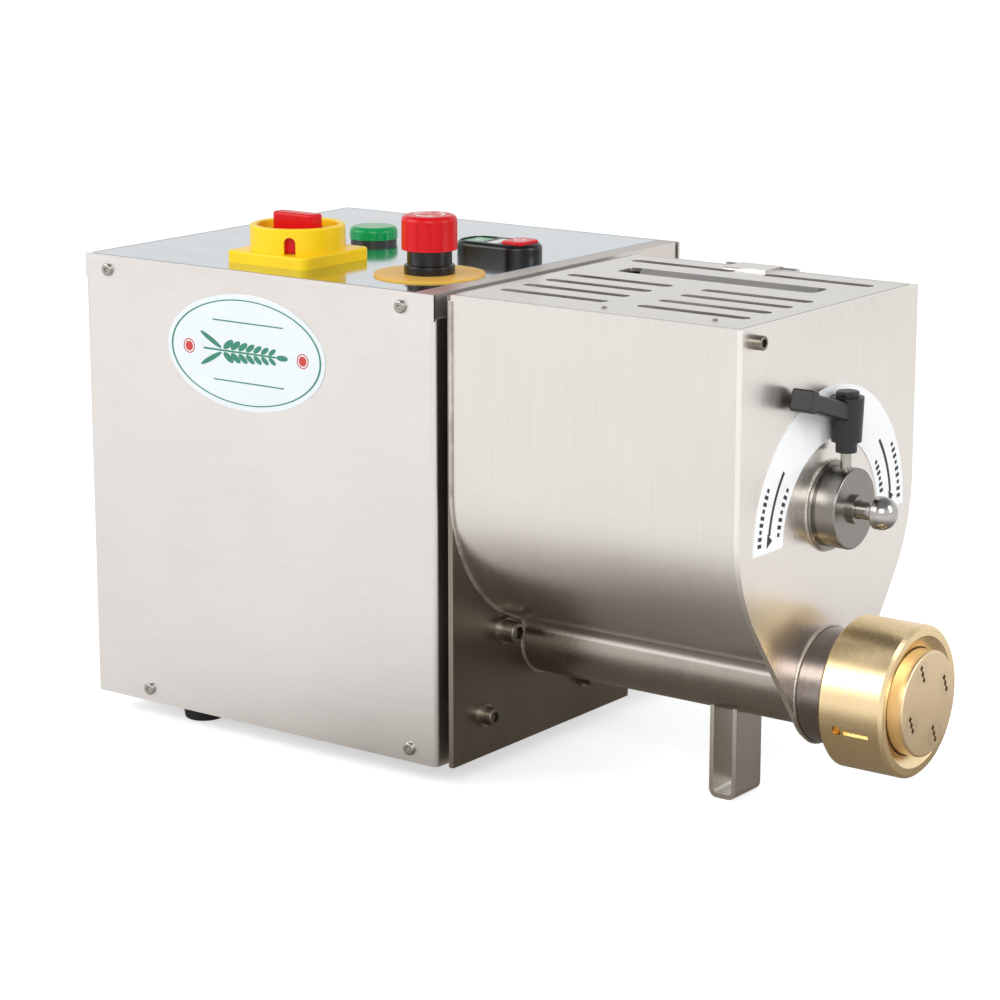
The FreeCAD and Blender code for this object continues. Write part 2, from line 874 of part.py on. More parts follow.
def lid_grille():
    x0 = flange_front + lid_gap
    x1 = end_back - lid_gap
    y0 = trough_y - trough_inner + lid_gap
    y1 = trough_y + trough_inner - lid_gap
    z0 = lid_z - lid_thick
    plate = box(x0, x1, y0, y1, z0, lid_z)
    middle = (flange_front + end_back) / 2 - 1
    tools = []
    rows = [-lid_first_row + k * lid_row_pitch for k in range(lid_row_count)] + [lid_far_row]
    for row in rows:
        for side in (-1, 1):
            x = middle + side * (lid_slot_middle + lid_slot_length) / 2
            tools.append(stadium_z(lid_slot_length, lid_slot_width, x, trough_y + row, z0 - 1, lid_z + 1))
    feed = rounded_prism_z(middle - lid_feed_length / 2, middle + lid_feed_length / 2,
                           trough_y + lid_feed_place - lid_feed_width / 2,
                           trough_y + lid_feed_place + lid_feed_width / 2, lid_feed_corner,
                           z0 - 1, lid_z + 1)
    tools.append(feed)
    hinge_x, hinge_y, hinge_z = lid_hinge_place()
    half = lid_hinge_length / 2
    leaf = box(hinge_x - half, hinge_x + half, y1 - lid_leaf_reach, hinge_y, lid_z, lid_z + lid_leaf_thick)
    knuckle = rod_x(lid_hinge_shell, hinge_x - half, hinge_x + half, hinge_y, hinge_z)
    lid = plate.cut(tools).fuse([feed_lip(middle), leaf, knuckle])
    bore = rod_x(lid_hinge_radius + running_gap, hinge_x - half - 1, hinge_x + half + 1, hinge_y, hinge_z)
    return lid.cut(bore).removeSplitter()


def feed_lip(middle):
    # The far edge of the feed opening, bent down at 45 degrees
    half = lid_feed_length / 2 - lid_lip_short
    y = trough_y + lid_feed_place + lid_feed_width / 2
    reach = lid_lip_length * math.sqrt(0.5)
    depth = lid_lip_thick * math.sqrt(0.5)
    corners = [V(middle - half, y, lid_z), V(middle - half, y - reach, lid_z - reach),
               V(middle - half, y - reach + depth, lid_z - reach - depth),
               V(middle - half, y + depth, lid_z - depth)]
    return Part.Face(Part.makePolygon(corners + corners[:1])).extrude(V(2 * half, 0, 0))


def hinge_knuckles():
    # The two outer knuckles, each on a block against the hopper's far wall
    hinge_x, hinge_y, hinge_z = lid_hinge_place()
    side_y = trough_y + trough_radius
    start = lid_hinge_length / 2 + lid_hinge_gap
    knuckles = []
    for side in (-1, 1):
        a, b = sorted((hinge_x + side * start, hinge_x + side * (start + lid_hinge_side)))
        post = box(a, b, side_y, hinge_y, hinge_z - 3 * lid_hinge_shell, hinge_z)
        ring = rod_x(lid_hinge_shell, a, b, hinge_y, hinge_z)
        knuckles.append(post.fuse(ring).cut(rod_x(lid_hinge_radius, a - 1, b + 1, hinge_y, hinge_z)))
    return group(knuckles)


def hinge_pin():
    hinge_x, hinge_y, hinge_z = lid_hinge_place()
    half = lid_hinge_length / 2 + lid_hinge_gap + lid_hinge_side
    return rod_x(lid_hinge_radius, hinge_x - half, hinge_x + half, hinge_y, hinge_z)


def lid_ledges():
    z1 = lid_z - lid_thick - ledge_gap
    near = trough_y - trough_inner
    far = trough_y + trough_inner
    x0 = flange_front
    x1 = end_back
    strips = [box(x0, x1, near, near + ledge_width, z1 - ledge_thick, z1),
              box(x0, x1, far - ledge_width, far, z1 - ledge_thick, z1)]
    return strips


# Front boss, locking pin and clamp lever

def boss_clamp_x():
    return end_front + lever_stand


def front_boss():
    base = rod_x(boss_base_radius, end_front, end_front + boss_base_length, trough_y, kneader_z)
    barrel = rod_x(boss_radius, end_front, end_front + boss_length, trough_y, kneader_z)
    barrel = barrel.makeFillet(boss_edge, rim_edges(barrel, "X", end_front + boss_length))
    nose_end = end_front + boss_length + boss_nose_length
    nose = rod_x(boss_nose_radius, end_front + boss_length - 1, nose_end, trough_y, kneader_z)
    boss = base.fuse([barrel, nose])
    bore = rod_x(pin_radius + sleeve_gap, end_front - 1, nose_end + 1, trough_y, kneader_z)
    tap = rod_z(stud_radius + 0.1, boss_clamp_x(), trough_y, kneader_z, kneader_z + boss_radius + 1)
    return boss.cut([bore, tap])


def locking_pin():
    x0 = end_back - pin_engagement
    x1 = end_front + boss_length + pin_neck
    pin = rod_x(pin_radius, x0, x1, trough_y, kneader_z)
    return pin.makeChamfer(1.0, rim_edges(pin, "X", x0))


def pin_knob():
    # A bullet-shaped knob: a short cylinder whose outer end is rounded into a dome
    x0 = end_front + boss_length + pin_neck
    knob = rod_x(knob_radius, x0, x0 + knob_length, trough_y, kneader_z)
    knob = knob.makeFillet(knob_radius - knob_nose, rim_edges(knob, "X", x0 + knob_length))
    return knob.makeFillet(1.0, rim_edges(knob, "X", x0))


def clamp_stud():
    x = boss_clamp_x()
    z0 = kneader_z + pin_radius + sleeve_gap + 0.1
    z1 = kneader_z + boss_radius + stud_out + lever_foot_height + lever_hub_height
    return rod_z(stud_radius, x, trough_y, z0, z1 - 2)


def clamp_lever():
    x = boss_clamp_x()
    z0 = kneader_z + boss_radius + stud_out
    z1 = z0 + lever_foot_height
    z2 = z1 + lever_hub_height
    foot = rod_z(lever_foot_radius, x, trough_y, z0, z1)
    hub = Part.makeCone(lever_hub_radius * 0.9, lever_hub_radius, lever_hub_height, V(x, trough_y, z1),
                        V(0, 0, 1))
    cap = rod_z(lever_cap_radius, x, trough_y, z2, z2 + lever_cap_height)
    cap = cap.makeFillet(1.0, rim_edges(cap, "Z", z2 + lever_cap_height))
    half = lever_arm_width / 2
    arm_top = z2 - lever_arm_below
    arm_bottom = arm_top - lever_arm_depth
    far = trough_y - lever_arm_length
    arm = box(x - half, x + half, far, trough_y, arm_bottom, arm_top)
    arm = arm.makeFillet(lever_arm_edge, [e for e in arm.Edges if e.BoundBox.YLength > 10])
    grow = lever_end_grow
    grip = box(x - half - grow, x + half + grow, far, far + lever_end_length,
               arm_bottom - grow, arm_top + grow)
    grip = grip.makeFillet(grow, grip.Edges)
    arm = arm.fuse(grip)
    arm.rotate(V(x, trough_y, (arm_top + arm_bottom) / 2), V(1, 0, 0), -lever_arm_tilt)
    lever = fuse_all([foot, hub, cap, arm])
    return lever.cut(rod_z(stud_radius + running_gap, x, trough_y, z0 - 1, z2))


# Extrusion end

def barrel_collar():
    x1 = end_front + collar_length
    ring = rod_x(collar_radius, end_front, x1, trough_y, auger_z)
    bore = rod_x(barrel_bore, end_front - 1, x1 + 1, trough_y, auger_z)
    seat = rod_x(collar_bore, x1 - collar_seat_depth, x1 + 1, trough_y, auger_z)
    return ring.cut([bore, seat])


def ring_nut():
    x0 = end_front + nut_start
    x1 = nut_end
    lip_x = end_front + collar_length + die_flange_thick + nut_thread_gap
    thread = collar_radius + nut_thread_gap
    outline = [
        (x0, thread), (x0, nut_radius - nut_edge), (x0 + nut_edge, nut_radius), (x1 - nut_edge, nut_radius),
        (x1, nut_radius - nut_edge), (x1, nut_lip_radius + nut_bevel_width),
        (x1 - nut_bevel_depth, nut_lip_radius), (lip_x, nut_lip_radius), (lip_x, thread), (x0, thread),
    ]
    points = [V(x, trough_y, auger_z + radius) for x, radius in outline]
    face = Part.Face(Part.makePolygon(points))
    nut = face.revolve(V(x0, trough_y, auger_z), V(1, 0, 0), 360)
    for turn in (0, 180):
        nut = nut.cut(nut_grip(x0, turn).Solids)
    return nut


def nut_grip(x0, turn):
    # A round spanner hole and a shallow slot in front of it, in the nut's side
    angle = math.radians(nut_hole_angle + turn)
    out = V(0, math.cos(angle), math.sin(angle))
    hole_x = x0 + nut_hole_place
    start = V(hole_x, trough_y, auger_z) + out * (nut_radius - nut_hole_depth)
    hole = Part.makeCylinder(nut_hole_radius, 2 * nut_hole_depth, start, out)
    slot = Part.makeBox(nut_slot_length, nut_slot_width, 2 * nut_slot_depth,
                        V(hole_x + nut_hole_radius + nut_slot_gap, -nut_slot_width / 2,
                          nut_radius - nut_slot_depth))
    slot.rotate(V(0, 0, 0), V(1, 0, 0), math.degrees(angle) - 90)
    slot.translate(V(0, trough_y, auger_z))
    return group([hole, slot])


def die_places():
    for k in range(insert_count):
        angle = math.radians(insert_first_angle + 360 * k / insert_count)
        yield angle, trough_y + insert_circle * math.cos(angle), auger_z + insert_circle * math.sin(angle)


def die_body():
    seat_x = end_front + collar_length
    spigot = rod_x(collar_bore - sleeve_gap, seat_x - collar_seat_depth + 1, seat_x, trough_y, auger_z)
    flange = rod_x(die_flange_radius, seat_x, seat_x + die_flange_thick, trough_y, auger_z)
    face = rod_x(die_radius, seat_x, die_end, trough_y, auger_z)
    face = face.makeFillet(die_edge, rim_edges(face, "X", die_end))
    die = fuse_all([spigot, flange, face])
    tools = []
    for angle, y, z in die_places():
        tools.append(rod_x(insert_radius, die_end - insert_depth, die_end + 1, y, z))
        tools.append(rod_x(insert_radius * 0.75, seat_x - collar_seat_depth, die_end, y, z))
    return die.cut(tools)


def die_inserts():
    inserts = []
    for angle, y, z in die_places():
        disc = rod_x(insert_radius, die_end - insert_depth, die_end, y, z)
        tools = []
        # Three small square holes in a row, joined by slits that step sideways
        for k in (-1, 0, 1):
            half = insert_hole / 2
            y_k = k * insert_hole * 0.55
            z_k = k * insert_hole * 1.45
            tools.append(Part.makeBox(insert_depth + 2, insert_hole, insert_hole,
                                      V(die_end - insert_depth - 1, y_k - half, z_k - half)))
        for k in (-0.5, 0.5):
            tools.append(Part.makeBox(insert_depth + 2, insert_slit, insert_hole * 1.5,
                                      V(die_end - insert_depth - 1, k * insert_hole * 0.55 - insert_slit / 2,
                                        k * insert_hole * 1.45 - insert_hole * 0.75)))
        for tool in tools:
            tool.rotate(V(0, 0, 0), V(1, 0, 0), math.degrees(angle) * 2)
            tool.translate(V(0, y, z))
        inserts.append(disc.cut(tools))
    return group(inserts)


# Kneader and auger

def kneader_back():
    return flange_front + kneader_end_gap


def kneader_front():
    return end_back - kneader_end_gap


def kneader_arm(index):
    # A round arm with a slanted blade at its end, square to the shaft
    span = kneader_front() - kneader_back()
    x = kneader_back() + (index + 0.5) * span / arm_count
    side = 1 if index % 2 else -1
    reach = kneader_tip_radius
    arm = Part.makeCylinder(arm_radius, reach, V(0, 0, 0), V(0, side, 0))
    blade = Part.makeBox(blade_length, blade_thick, blade_width,
                         V(-blade_length / 2, reach - blade_thick, -blade_width / 2))
    if side < 0:
        blade.rotate(V(0, 0, 0), V(0, 0, 1), 180)
    blade.rotate(V(0, 0, 0), V(0, 1, 0), side * blade_twist)
    arm = arm.fuse(blade)
    arm.translate(V(x, trough_y, kneader_z))
    return arm


def kneader():
    tube = rod_x(kneader_tube_radius, kneader_back(), kneader_front(), trough_y, kneader_z)
    solid = fuse_all([tube] + [kneader_arm(k) for k in range(arm_count)])
    half = drive_square / 2 + sleeve_gap / 2
    socket = box(kneader_back() - 1, kneader_back() + 24, trough_y - half, trough_y + half,
                 kneader_z - half, kneader_z + half)
    bush_seat = rod_x(pin_radius + 3, kneader_front() - pin_engagement, kneader_front() + 1,
                      trough_y, kneader_z)
    return solid.cut([socket, bush_seat])


def kneader_bush():
    return tube_x(pin_radius + 3, pin_radius + running_gap, kneader_front() - pin_engagement + 1,
                  kneader_front(), trough_y, kneader_z)


def gear_span():
    x1 = bulkhead_back - gearbox_wall - gear_side_gap
    return x1 - gear_width, x1


def gearbox_span():
    x0, x1 = gear_span()
    return x0 - gear_side_gap - gearbox_wall, bulkhead_back


def shaft_start():
    return gearbox_span()[0] + gearbox_wall - bearing_width


def kneader_drive_shaft():
    x0 = shaft_start()
    square = drive_square / 2
    shaft = rod_x(drive_shaft_radius, x0, kneader_back(), trough_y, kneader_z)
    dog = box(kneader_back(), kneader_back() + 22, trough_y - square, trough_y + square,
              kneader_z - square, kneader_z + square)
    return shaft.fuse(dog)


def pinion_place():
    apart = gear_module * (kneader_teeth + pinion_teeth) / 2
    angle = math.radians(pinion_angle)
    return trough_y + apart * math.cos(angle), kneader_z + apart * math.sin(angle)


def gear(teeth, y, z, bore, turn):
    # A spur gear along X: each tooth's flanks lean like a 20 degree pressure angle
    x0, x1 = gear_span()
    pitch_r = gear_module * teeth / 2
    tip_r = pitch_r + gear_module
    root_r = pitch_r - gear_module * (1 + gear_root_gap)
    quarter = math.pi / (2 * teeth) - gear_backlash / pitch_r / 2
    slope = math.tan(math.radians(20))
    base_half = quarter + gear_module * (1 + gear_root_gap) * slope * 0.75 / pitch_r
    tip_half = quarter - gear_module * slope * 1.25 / pitch_r
    points = []
    for k in range(teeth):
        centre = 2 * math.pi * k / teeth + math.radians(turn)
        for radius, offset in ((root_r, -base_half), (pitch_r, -quarter), (tip_r, -tip_half),
                               (tip_r, tip_half), (pitch_r, quarter), (root_r, base_half)):
            angle = centre + offset
            points.append(V(x0, y + radius * math.cos(angle), z + radius * math.sin(angle)))
    points.append(points[0])
    blank = Part.Face(Part.makePolygon(points)).extrude(V(x1 - x0, 0, 0))
    return blank.cut(rod_x(bore, x0 - 1, x1 + 1, y, z))


def kneader_gear():
    # One tooth points straight down, where the auger gear has a gap
    return gear(kneader_teeth, trough_y, kneader_z, drive_shaft_radius, -90)


def auger_gear():
    return gear(auger_teeth, trough_y, auger_z, auger_shaft_radius, 90 + 180 / auger_teeth)


def motor_pinion():
    # The kneader gear's tooth phase along the line of centres sets the pinion's turn
    y, z = pinion_place()
    pitch = 360 / kneader_teeth
    phase = ((pinion_angle + 90) / pitch) % 1
    turn = pinion_angle + 180 + (0.5 - phase) * -360 / pinion_teeth
    return gear(pinion_teeth, y, z, pinion_shaft_radius, turn)


def auger():
    x0 = flange_front + 2
    x1 = end_front + collar_length - collar_seat_depth - 8
    core = rod_x(auger_core_radius, x0, x1, trough_y, auger_z)
    tip = Part.makeCone(auger_core_radius, 3, 6, V(x1, trough_y, auger_z), V(1, 0, 0))
    turns_length = x1 - x0 - auger_pitch * 0.5
    helix = Part.makeHelix(auger_pitch, turns_length, auger_core_radius)
    inner_r = auger_core_radius - 1.5
    half = auger_flight / 2
    points = [V(inner_r, 0, -half), V(auger_radius, 0, -half * 0.6),
              V(auger_radius, 0, half * 0.6), V(inner_r, 0, half), V(inner_r, 0, -half)]
    profile = Part.makePolygon(points)
    flight = Part.Wire(helix.Edges).makePipeShell([profile], True, True)
    flight = Part.Solid(flight) if flight.ShapeType == "Shell" else flight
    flight.rotate(V(0, 0, 0), V(0, 1, 0), 90)
    flight.translate(V(x0 + auger_flight, trough_y, auger_z))
    return core.fuse([flight, tip]).removeSplitter()


def auger_shaft():
    return rod_x(auger_shaft_radius, shaft_start(), flange_front + 2, trough_y, auger_z)


def pinion_shaft():
    y, z = pinion_place()
    x1 = bulkhead_back - gearbox_wall + bearing_width
    return rod_x(pinion_shaft_radius, shaft_start(), x1, y, z)


# Gearbox and motor

def gearbox_outline():
    y1 = pinion_place()[0] + gear_module * (pinion_teeth / 2 + 1) + gearbox_margin + gearbox_wall
    y0 = trough_y - kneader_gear_tip - gearbox_margin - gearbox_wall
    z0 = auger_z - gear_module * (auger_teeth / 2 + 1) - gearbox_margin - 2
    return y0, y1, z0, gearbox_top


def shaft_places():
    yield trough_y, kneader_z, drive_shaft_radius
    yield trough_y, auger_z, auger_shaft_radius
    y, z = pinion_place()
    yield y, z, pinion_shaft_radius


def gearbox_case():
    y0, y1, z0, z1 = gearbox_outline()
    x0, x1 = gearbox_span()
    cover = x1 - gearbox_wall
    case = rounded_prism_x(y0, y1, max(z0, floor_z + tray_sheet + 1), z1, gearbox_corner, x0, cover)
    wall = gearbox_wall * 0.6
    hollow = rounded_prism_x(y0 + wall, y1 - wall, max(z0, floor_z + tray_sheet + 1) + 4, z1 - wall,
                             gearbox_corner - wall, x0 + gearbox_wall, cover + 1)
    tools = [hollow]
    for y, z, radius in shaft_places():
        tools.append(rod_x(bearing_radius, x0 + gearbox_wall - bearing_width, cover, y, z))
    return case.cut(tools)


def gearbox_cover():
    y0, y1, z0, z1 = gearbox_outline()
    x0, x1 = gearbox_span()
    cover = rounded_prism_x(y0, y1, max(z0, floor_z + tray_sheet + 1), z1, gearbox_corner,
                            x1 - gearbox_wall, x1)
    tools = []
    for index, (y, z, radius) in enumerate(shaft_places()):
        tools.append(rod_x(bearing_radius, x1 - gearbox_wall - 1, x1 - gearbox_wall + bearing_width, y, z))
        if index < 2:
            tools.append(rod_x(radius + 1, x1 - gearbox_wall, x1 + 1, y, z))
    for y, z, radius in flange_bolt_places():
        tools.append(rod_x(radius + 0.1, x1 - 8, x1 + 1, y, z))
    return cover.cut(tools)


def shaft_bearings():
    x0, x1 = gearbox_span()
    rings = []
    for y, z, radius in shaft_places():
        bore = radius + running_gap
        back = x0 + gearbox_wall - bearing_width
        front = x1 - gearbox_wall
        rings.append(tube_x(bearing_radius, bore, back, back + bearing_width, y, z))
        rings.append(tube_x(bearing_radius, bore, front, front + bearing_width, y, z))
    return group(rings)


def shaft_seals():
    rings = []
    for y, z, radius in list(shaft_places())[:2]:
        rings.append(tube_x(seal_radius, radius + running_gap, flange_back - 1, flange_front, y, z))
    return group(rings)


def motor_span():
    x1 = gearbox_span()[0]
    return x1 - motor_flange_thick - motor_length, x1 - motor_flange_thick


def motor_body():
    y, z = pinion_place()
    x0, x1 = motor_span()
    pieces = [rod_x(motor_radius - motor_rib_height, x0, x1, y, z)]
    for k in range(motor_rib_count):
        rib = box(x0, x1, -motor_rib_width / 2, motor_rib_width / 2,
                  motor_radius - motor_rib_height - 1, motor_radius)
        rib.rotate(V(0, 0, 0), V(1, 0, 0), 360 * k / motor_rib_count)
        rib.translate(V(0, y, z))
        pieces.append(rib)
    return fuse_all(pieces)


def motor_flange():
    y, z = pinion_place()
    x1 = gearbox_span()[0]
    return rod_x(motor_flange_radius, x1 - motor_flange_thick, x1, y, z)


def motor_cap():
    y, z = pinion_place()
    x0 = motor_span()[0]
    cap = rod_x(motor_radius - 1, x0 - motor_cap_length, x0, y, z)
    return cap.makeFillet(5, rim_edges(cap, "X", x0 - motor_cap_length))


def run_capacitor():
    x0 = rear_x + capacitor_from_rear
    y = -half_width + capacitor_from_side
    z = floor_z + tray_sheet + capacitor_radius
    can = rod_x(capacitor_radius, x0, x0 + capacitor_length, y, z)
    return can.makeFillet(2, rim_edges(can, "X", x0))


def contactor_place():
    return rear_x + contactor_from_rear, -half_width + contactor_from_side


def rail_bottom():
    return floor_z + tray_sheet + 2 * capacitor_radius + rail_above_capacitor


def mounting_rail():
    x, y = contactor_place()
    z = rail_bottom()
    rail = box(x - rail_length / 2, x + rail_length / 2, y - rail_width / 2, y + rail_width / 2,
               z, z + rail_height)
    channel = box(x - rail_length, x + rail_length, y - rail_width / 2 + rail_lip,
                  y + rail_width / 2 - rail_lip,
                  z + rail_sheet, z + rail_height + 1)
    under = fuse_all([
        box(x - rail_length, x + rail_length, y - rail_width, y - rail_width / 2 + rail_lip - rail_sheet,
            z - 1, z + rail_height - rail_sheet),
        box(x - rail_length, x + rail_length, y + rail_width / 2 - rail_lip + rail_sheet, y + rail_width,
            z - 1, z + rail_height - rail_sheet)])
    legs = []
    for side in (-1, 1):
        a = x + side * (rail_length / 2 - rail_leg_inset)
        legs.append(box(a - rail_leg_half, a + rail_leg_half, y - 2 * rail_leg_half, y + 2 * rail_leg_half,
                        floor_z + tray_sheet, z))
    return fuse_all([rail.cut([channel, under])] + legs)


def contactor():
    x, y = contactor_place()
    z = rail_bottom() + rail_height
    block = rounded_prism_z(x - contactor_width / 2, x + contactor_width / 2, y - contactor_depth / 2,
                            y + contactor_depth / 2, 2, z, z + contactor_height)
    step = box(x - contactor_width, x + contactor_width, y + contactor_depth / 2 - contactor_step,
               y + contactor_depth, z + contactor_height - contactor_step_height, z + contactor_height + 1)
    return block.cut(step)


# Control devices

def main_switch_place():
    return front_x - main_switch_x, -half_width + main_switch_y


def lamp_place():
    return front_x - lamp_x, -half_width + lamp_y


def estop_place():
    return front_x - estop_x, -half_width + estop_y


def twin_place():
    return front_x - twin_x, -half_width + twin_y


def contact_block(place, stem_radius, side=contact_block_side):
    # The block clipped on behind the panel, with the stem that fills the panel's hole
    x, y = place
    z1 = panel_bottom
    block = rounded_prism_z(x - side / 2, x + side / 2, y - side / 2, y + side / 2, 2,
                            z1 - contact_block_height, z1)
    return block.fuse(rod_z(mount_hole_radius - 0.15, x, y, z1 - 1, top_z)).cut(
        rod_z(stem_radius, x, y, z1 - 16, top_z + 1))


def switch_plate():
    x, y = main_switch_place()
    half = switch_plate_side / 2
    plate = rounded_prism_z(x - half, x + half, y - half, y + half, switch_plate_corner,
                            top_z, top_z + switch_plate_height)
    plate = plate.makeFillet(1.2, rim_edges(plate, "Z", top_z + switch_plate_height))
    return plate.cut(rod_z(mount_hole_radius, x, y, top_z - 1, top_z + switch_plate_height + 1))


def switch_ring():
    # An upright ring with arched windows for padlocks
    x, y = main_switch_place()
    z0 = top_z + switch_plate_height
    ring = tube_z(switch_ring_radius, switch_ring_radius - switch_ring_wall, x, y,
                  z0, z0 + switch_ring_height)
    ring = ring.makeFillet(1.0, rim_edges(ring, "Z", z0 + switch_ring_height))
    tools = []
    half = switch_window_width / 2
    for k in range(switch_window_count):
        window = box(0, switch_ring_radius + 5, -half, half, z0 - 1,
                     z0 + switch_window_height - half)
        arch = rod_x(half, 0, switch_ring_radius + 5, 0, z0 + switch_window_height - half)
        window = window.fuse(arch)
        window.rotate(V(0, 0, 0), V(0, 0, 1), -60 + 360 * k / switch_window_count)
        window.translate(V(x, y, 0))
        tools.append(window)
    return ring.cut(tools)


def switch_handle():
    # A round dished base that carries a straight grip bar
    x, y = main_switch_place()
    z0 = top_z + switch_plate_height + 0.3
    base = rod_z(switch_dish_radius, x, y, z0, z0 + switch_dish_height)
    top = top_z + switch_plate_height + switch_ring_height + switch_handle_rise
    bar = rounded_prism_z(x - switch_handle_length / 2, x + switch_handle_length / 2,
                          y - switch_handle_width / 2, y + switch_handle_width / 2, 3, z0, top)
    bar = bar.makeFillet(1.4, rim_edges(bar, "Z", top))
    stem = rod_z(estop_stem_radius, x, y, panel_bottom - 12, z0 + 1)
    return fuse_all([base, bar, stem])


def lamp_base():
    x, y = lamp_place()
    return tube_z(lamp_base_radius, mount_hole_radius - 2, x, y, top_z, top_z + lamp_base_height)


def lamp_lens():
    x, y = lamp_place()
    z0 = top_z + lamp_base_height
    z1 = z0 + lamp_lens_height
    lens = rod_z(lamp_lens_radius, x, y, z0, z1)
    lens = lens.makeFillet(lamp_lens_height * 0.42, rim_edges(lens, "Z", z1))
    return lens.cut(rod_z(lamp_lens_radius - 2, x, y, z0 - 1, z1 - 3))


def estop_disc():
    x, y = estop_place()
    return tube_z(estop_disc_radius, mount_hole_radius, x, y, top_z, top_z + estop_disc_thick)


def estop_base():
    x, y = estop_place()
    z0 = top_z + estop_disc_thick
    z1 = z0 + estop_base_height
    flange = rod_z(estop_base_radius, x, y, z0, z1)
    flange = flange.makeFillet(1.2, rim_edges(flange, "Z", z1))
    neck_top = z1 + estop_neck_height + estop_overlap
    neck = rod_z(estop_neck_radius, x, y, z1 - 1, neck_top)
    bore = rod_z(estop_stem_radius + sleeve_gap, x, y, z0 - 1, neck_top + 1)
    return flange.fuse(neck).cut(bore)


def estop_cap_bottom():
    return top_z + estop_disc_thick + estop_base_height + estop_neck_height


def estop_plunger():
    x, y = estop_place()
    z1 = estop_cap_bottom() + estop_cap_height - 3
    return rod_z(estop_stem_radius, x, y, panel_bottom - 10, z1)


def estop_cap():
    # A fluted cap with a domed top, hollow below so that it can go down over the neck
    x, y = estop_place()
    z0 = estop_cap_bottom()
    z1 = z0 + estop_cap_height
    cap = rod_z(estop_cap_radius, x, y, z0, z1)
    cap = cap.makeFillet(3.0, rim_edges(cap, "Z", z1))
    grooves = []
    for k in range(estop_flutes):
        angle = 2 * math.pi * k / estop_flutes
        out = estop_cap_radius + 0.6
        grooves.append(rod_z(1.2, x + out * math.cos(angle), y + out * math.sin(angle), z0 - 1, z1 - 3.5))
    hollow = rod_z(estop_neck_radius + sleeve_gap, x, y, z0 - 1, z0 + estop_overlap + estop_travel + 0.5)
    socket = rod_z(estop_stem_radius + running_gap, x, y, z0 - 1, z1 - 3)
    return cap.cut(grooves + [hollow, socket])


def twin_bezel():
    x, y = twin_place()
    body = stadium_z(twin_length, twin_width, x, y, top_z, top_z + twin_height)
    body = body.makeFillet(3.0, rim_edges(body, "Z", top_z + twin_height))
    tools = [stadium_z(twin_length - 10, twin_width - 8, x, y, top_z - 1, top_z + twin_height * 0.45)]
    for cx in twin_cap_centres():
        half_l = twin_cap_length / 2 + twin_gap
        half_w = twin_cap_width / 2 + twin_gap
        tools.append(rounded_prism_z(cx - half_l, cx + half_l, y - half_w, y + half_w, 4,
                                     top_z, top_z + twin_height + 1))
    half_l = twin_lens_length / 2
    half_w = twin_cap_width / 2
    tools.append(box(x - half_l, x + half_l, y - half_w, y + half_w, top_z, top_z + twin_height + 1))
    return body.cut(tools)


def twin_cap_centres():
    x = twin_place()[0]
    return x - twin_cap_offset, x + twin_cap_offset


def twin_cap(index):
    y = twin_place()[1]
    cx = twin_cap_centres()[index]
    half_l = twin_cap_length / 2
    half_w = twin_cap_width / 2
    z1 = top_z + twin_height + (twin_cap_rise if index else -0.6)
    cap = rounded_prism_z(cx - half_l, cx + half_l, y - half_w, y + half_w, 4,
                          top_z + twin_travel + 0.5, z1)
    return cap.makeFillet(1.0, rim_edges(cap, "Z", z1))


def twin_lens():
    x, y = twin_place()
    half_l = twin_lens_length / 2
    half_w = twin_cap_width / 2
    z0 = top_z + twin_travel
    return box(x - half_l, x + half_l, y - half_w, y + half_w, z0, top_z + twin_height - 0.3)


def twin_block():
    x, y = twin_place()
    side = contact_block_side
    z1 = panel_bottom
    block = rounded_prism_z(x - side * 0.7, x + side * 0.7, y - side / 2, y + side / 2, 2,
                            z1 - contact_block_height, z1)
    stem = stadium_z(twin_length - 11, twin_width - 9, x, y, z1 - 1, top_z)
    return block.fuse(stem)


# Labels

def oval_label():
    x = front_x - oval_x
    z = floor_z + oval_z
    ring = Part.Ellipse(V(0, 0, 0), oval_length / 2, oval_height / 2).toShape()
    disc = Part.Face(Part.Wire([ring])).extrude(V(0, 0, label_thick))
    disc.rotate(V(0, 0, 0), V(1, 0, 0), 90)
    disc.translate(V(x, -half_width, z))
    return disc


def direction_label():
    # Half a ring over the boss, with flat ends
    centre = V(end_front, trough_y + arc_label_across, kneader_z - arc_label_drop)

    def at(across, up):
        return centre + V(0, across, up)

    inner = arc_label_inner
    outer = arc_label_outer
    edges = [
        Part.Arc(at(-outer, 0), at(0, outer), at(outer, 0)).toShape(),
        Part.makeLine(at(outer, 0), at(inner, 0)),
        Part.Arc(at(inner, 0), at(0, inner), at(-inner, 0)).toShape(),
        Part.makeLine(at(-inner, 0), at(-outer, 0)),
    ]
    return Part.Face(Part.Wire(edges)).extrude(V(label_thick, 0, 0))


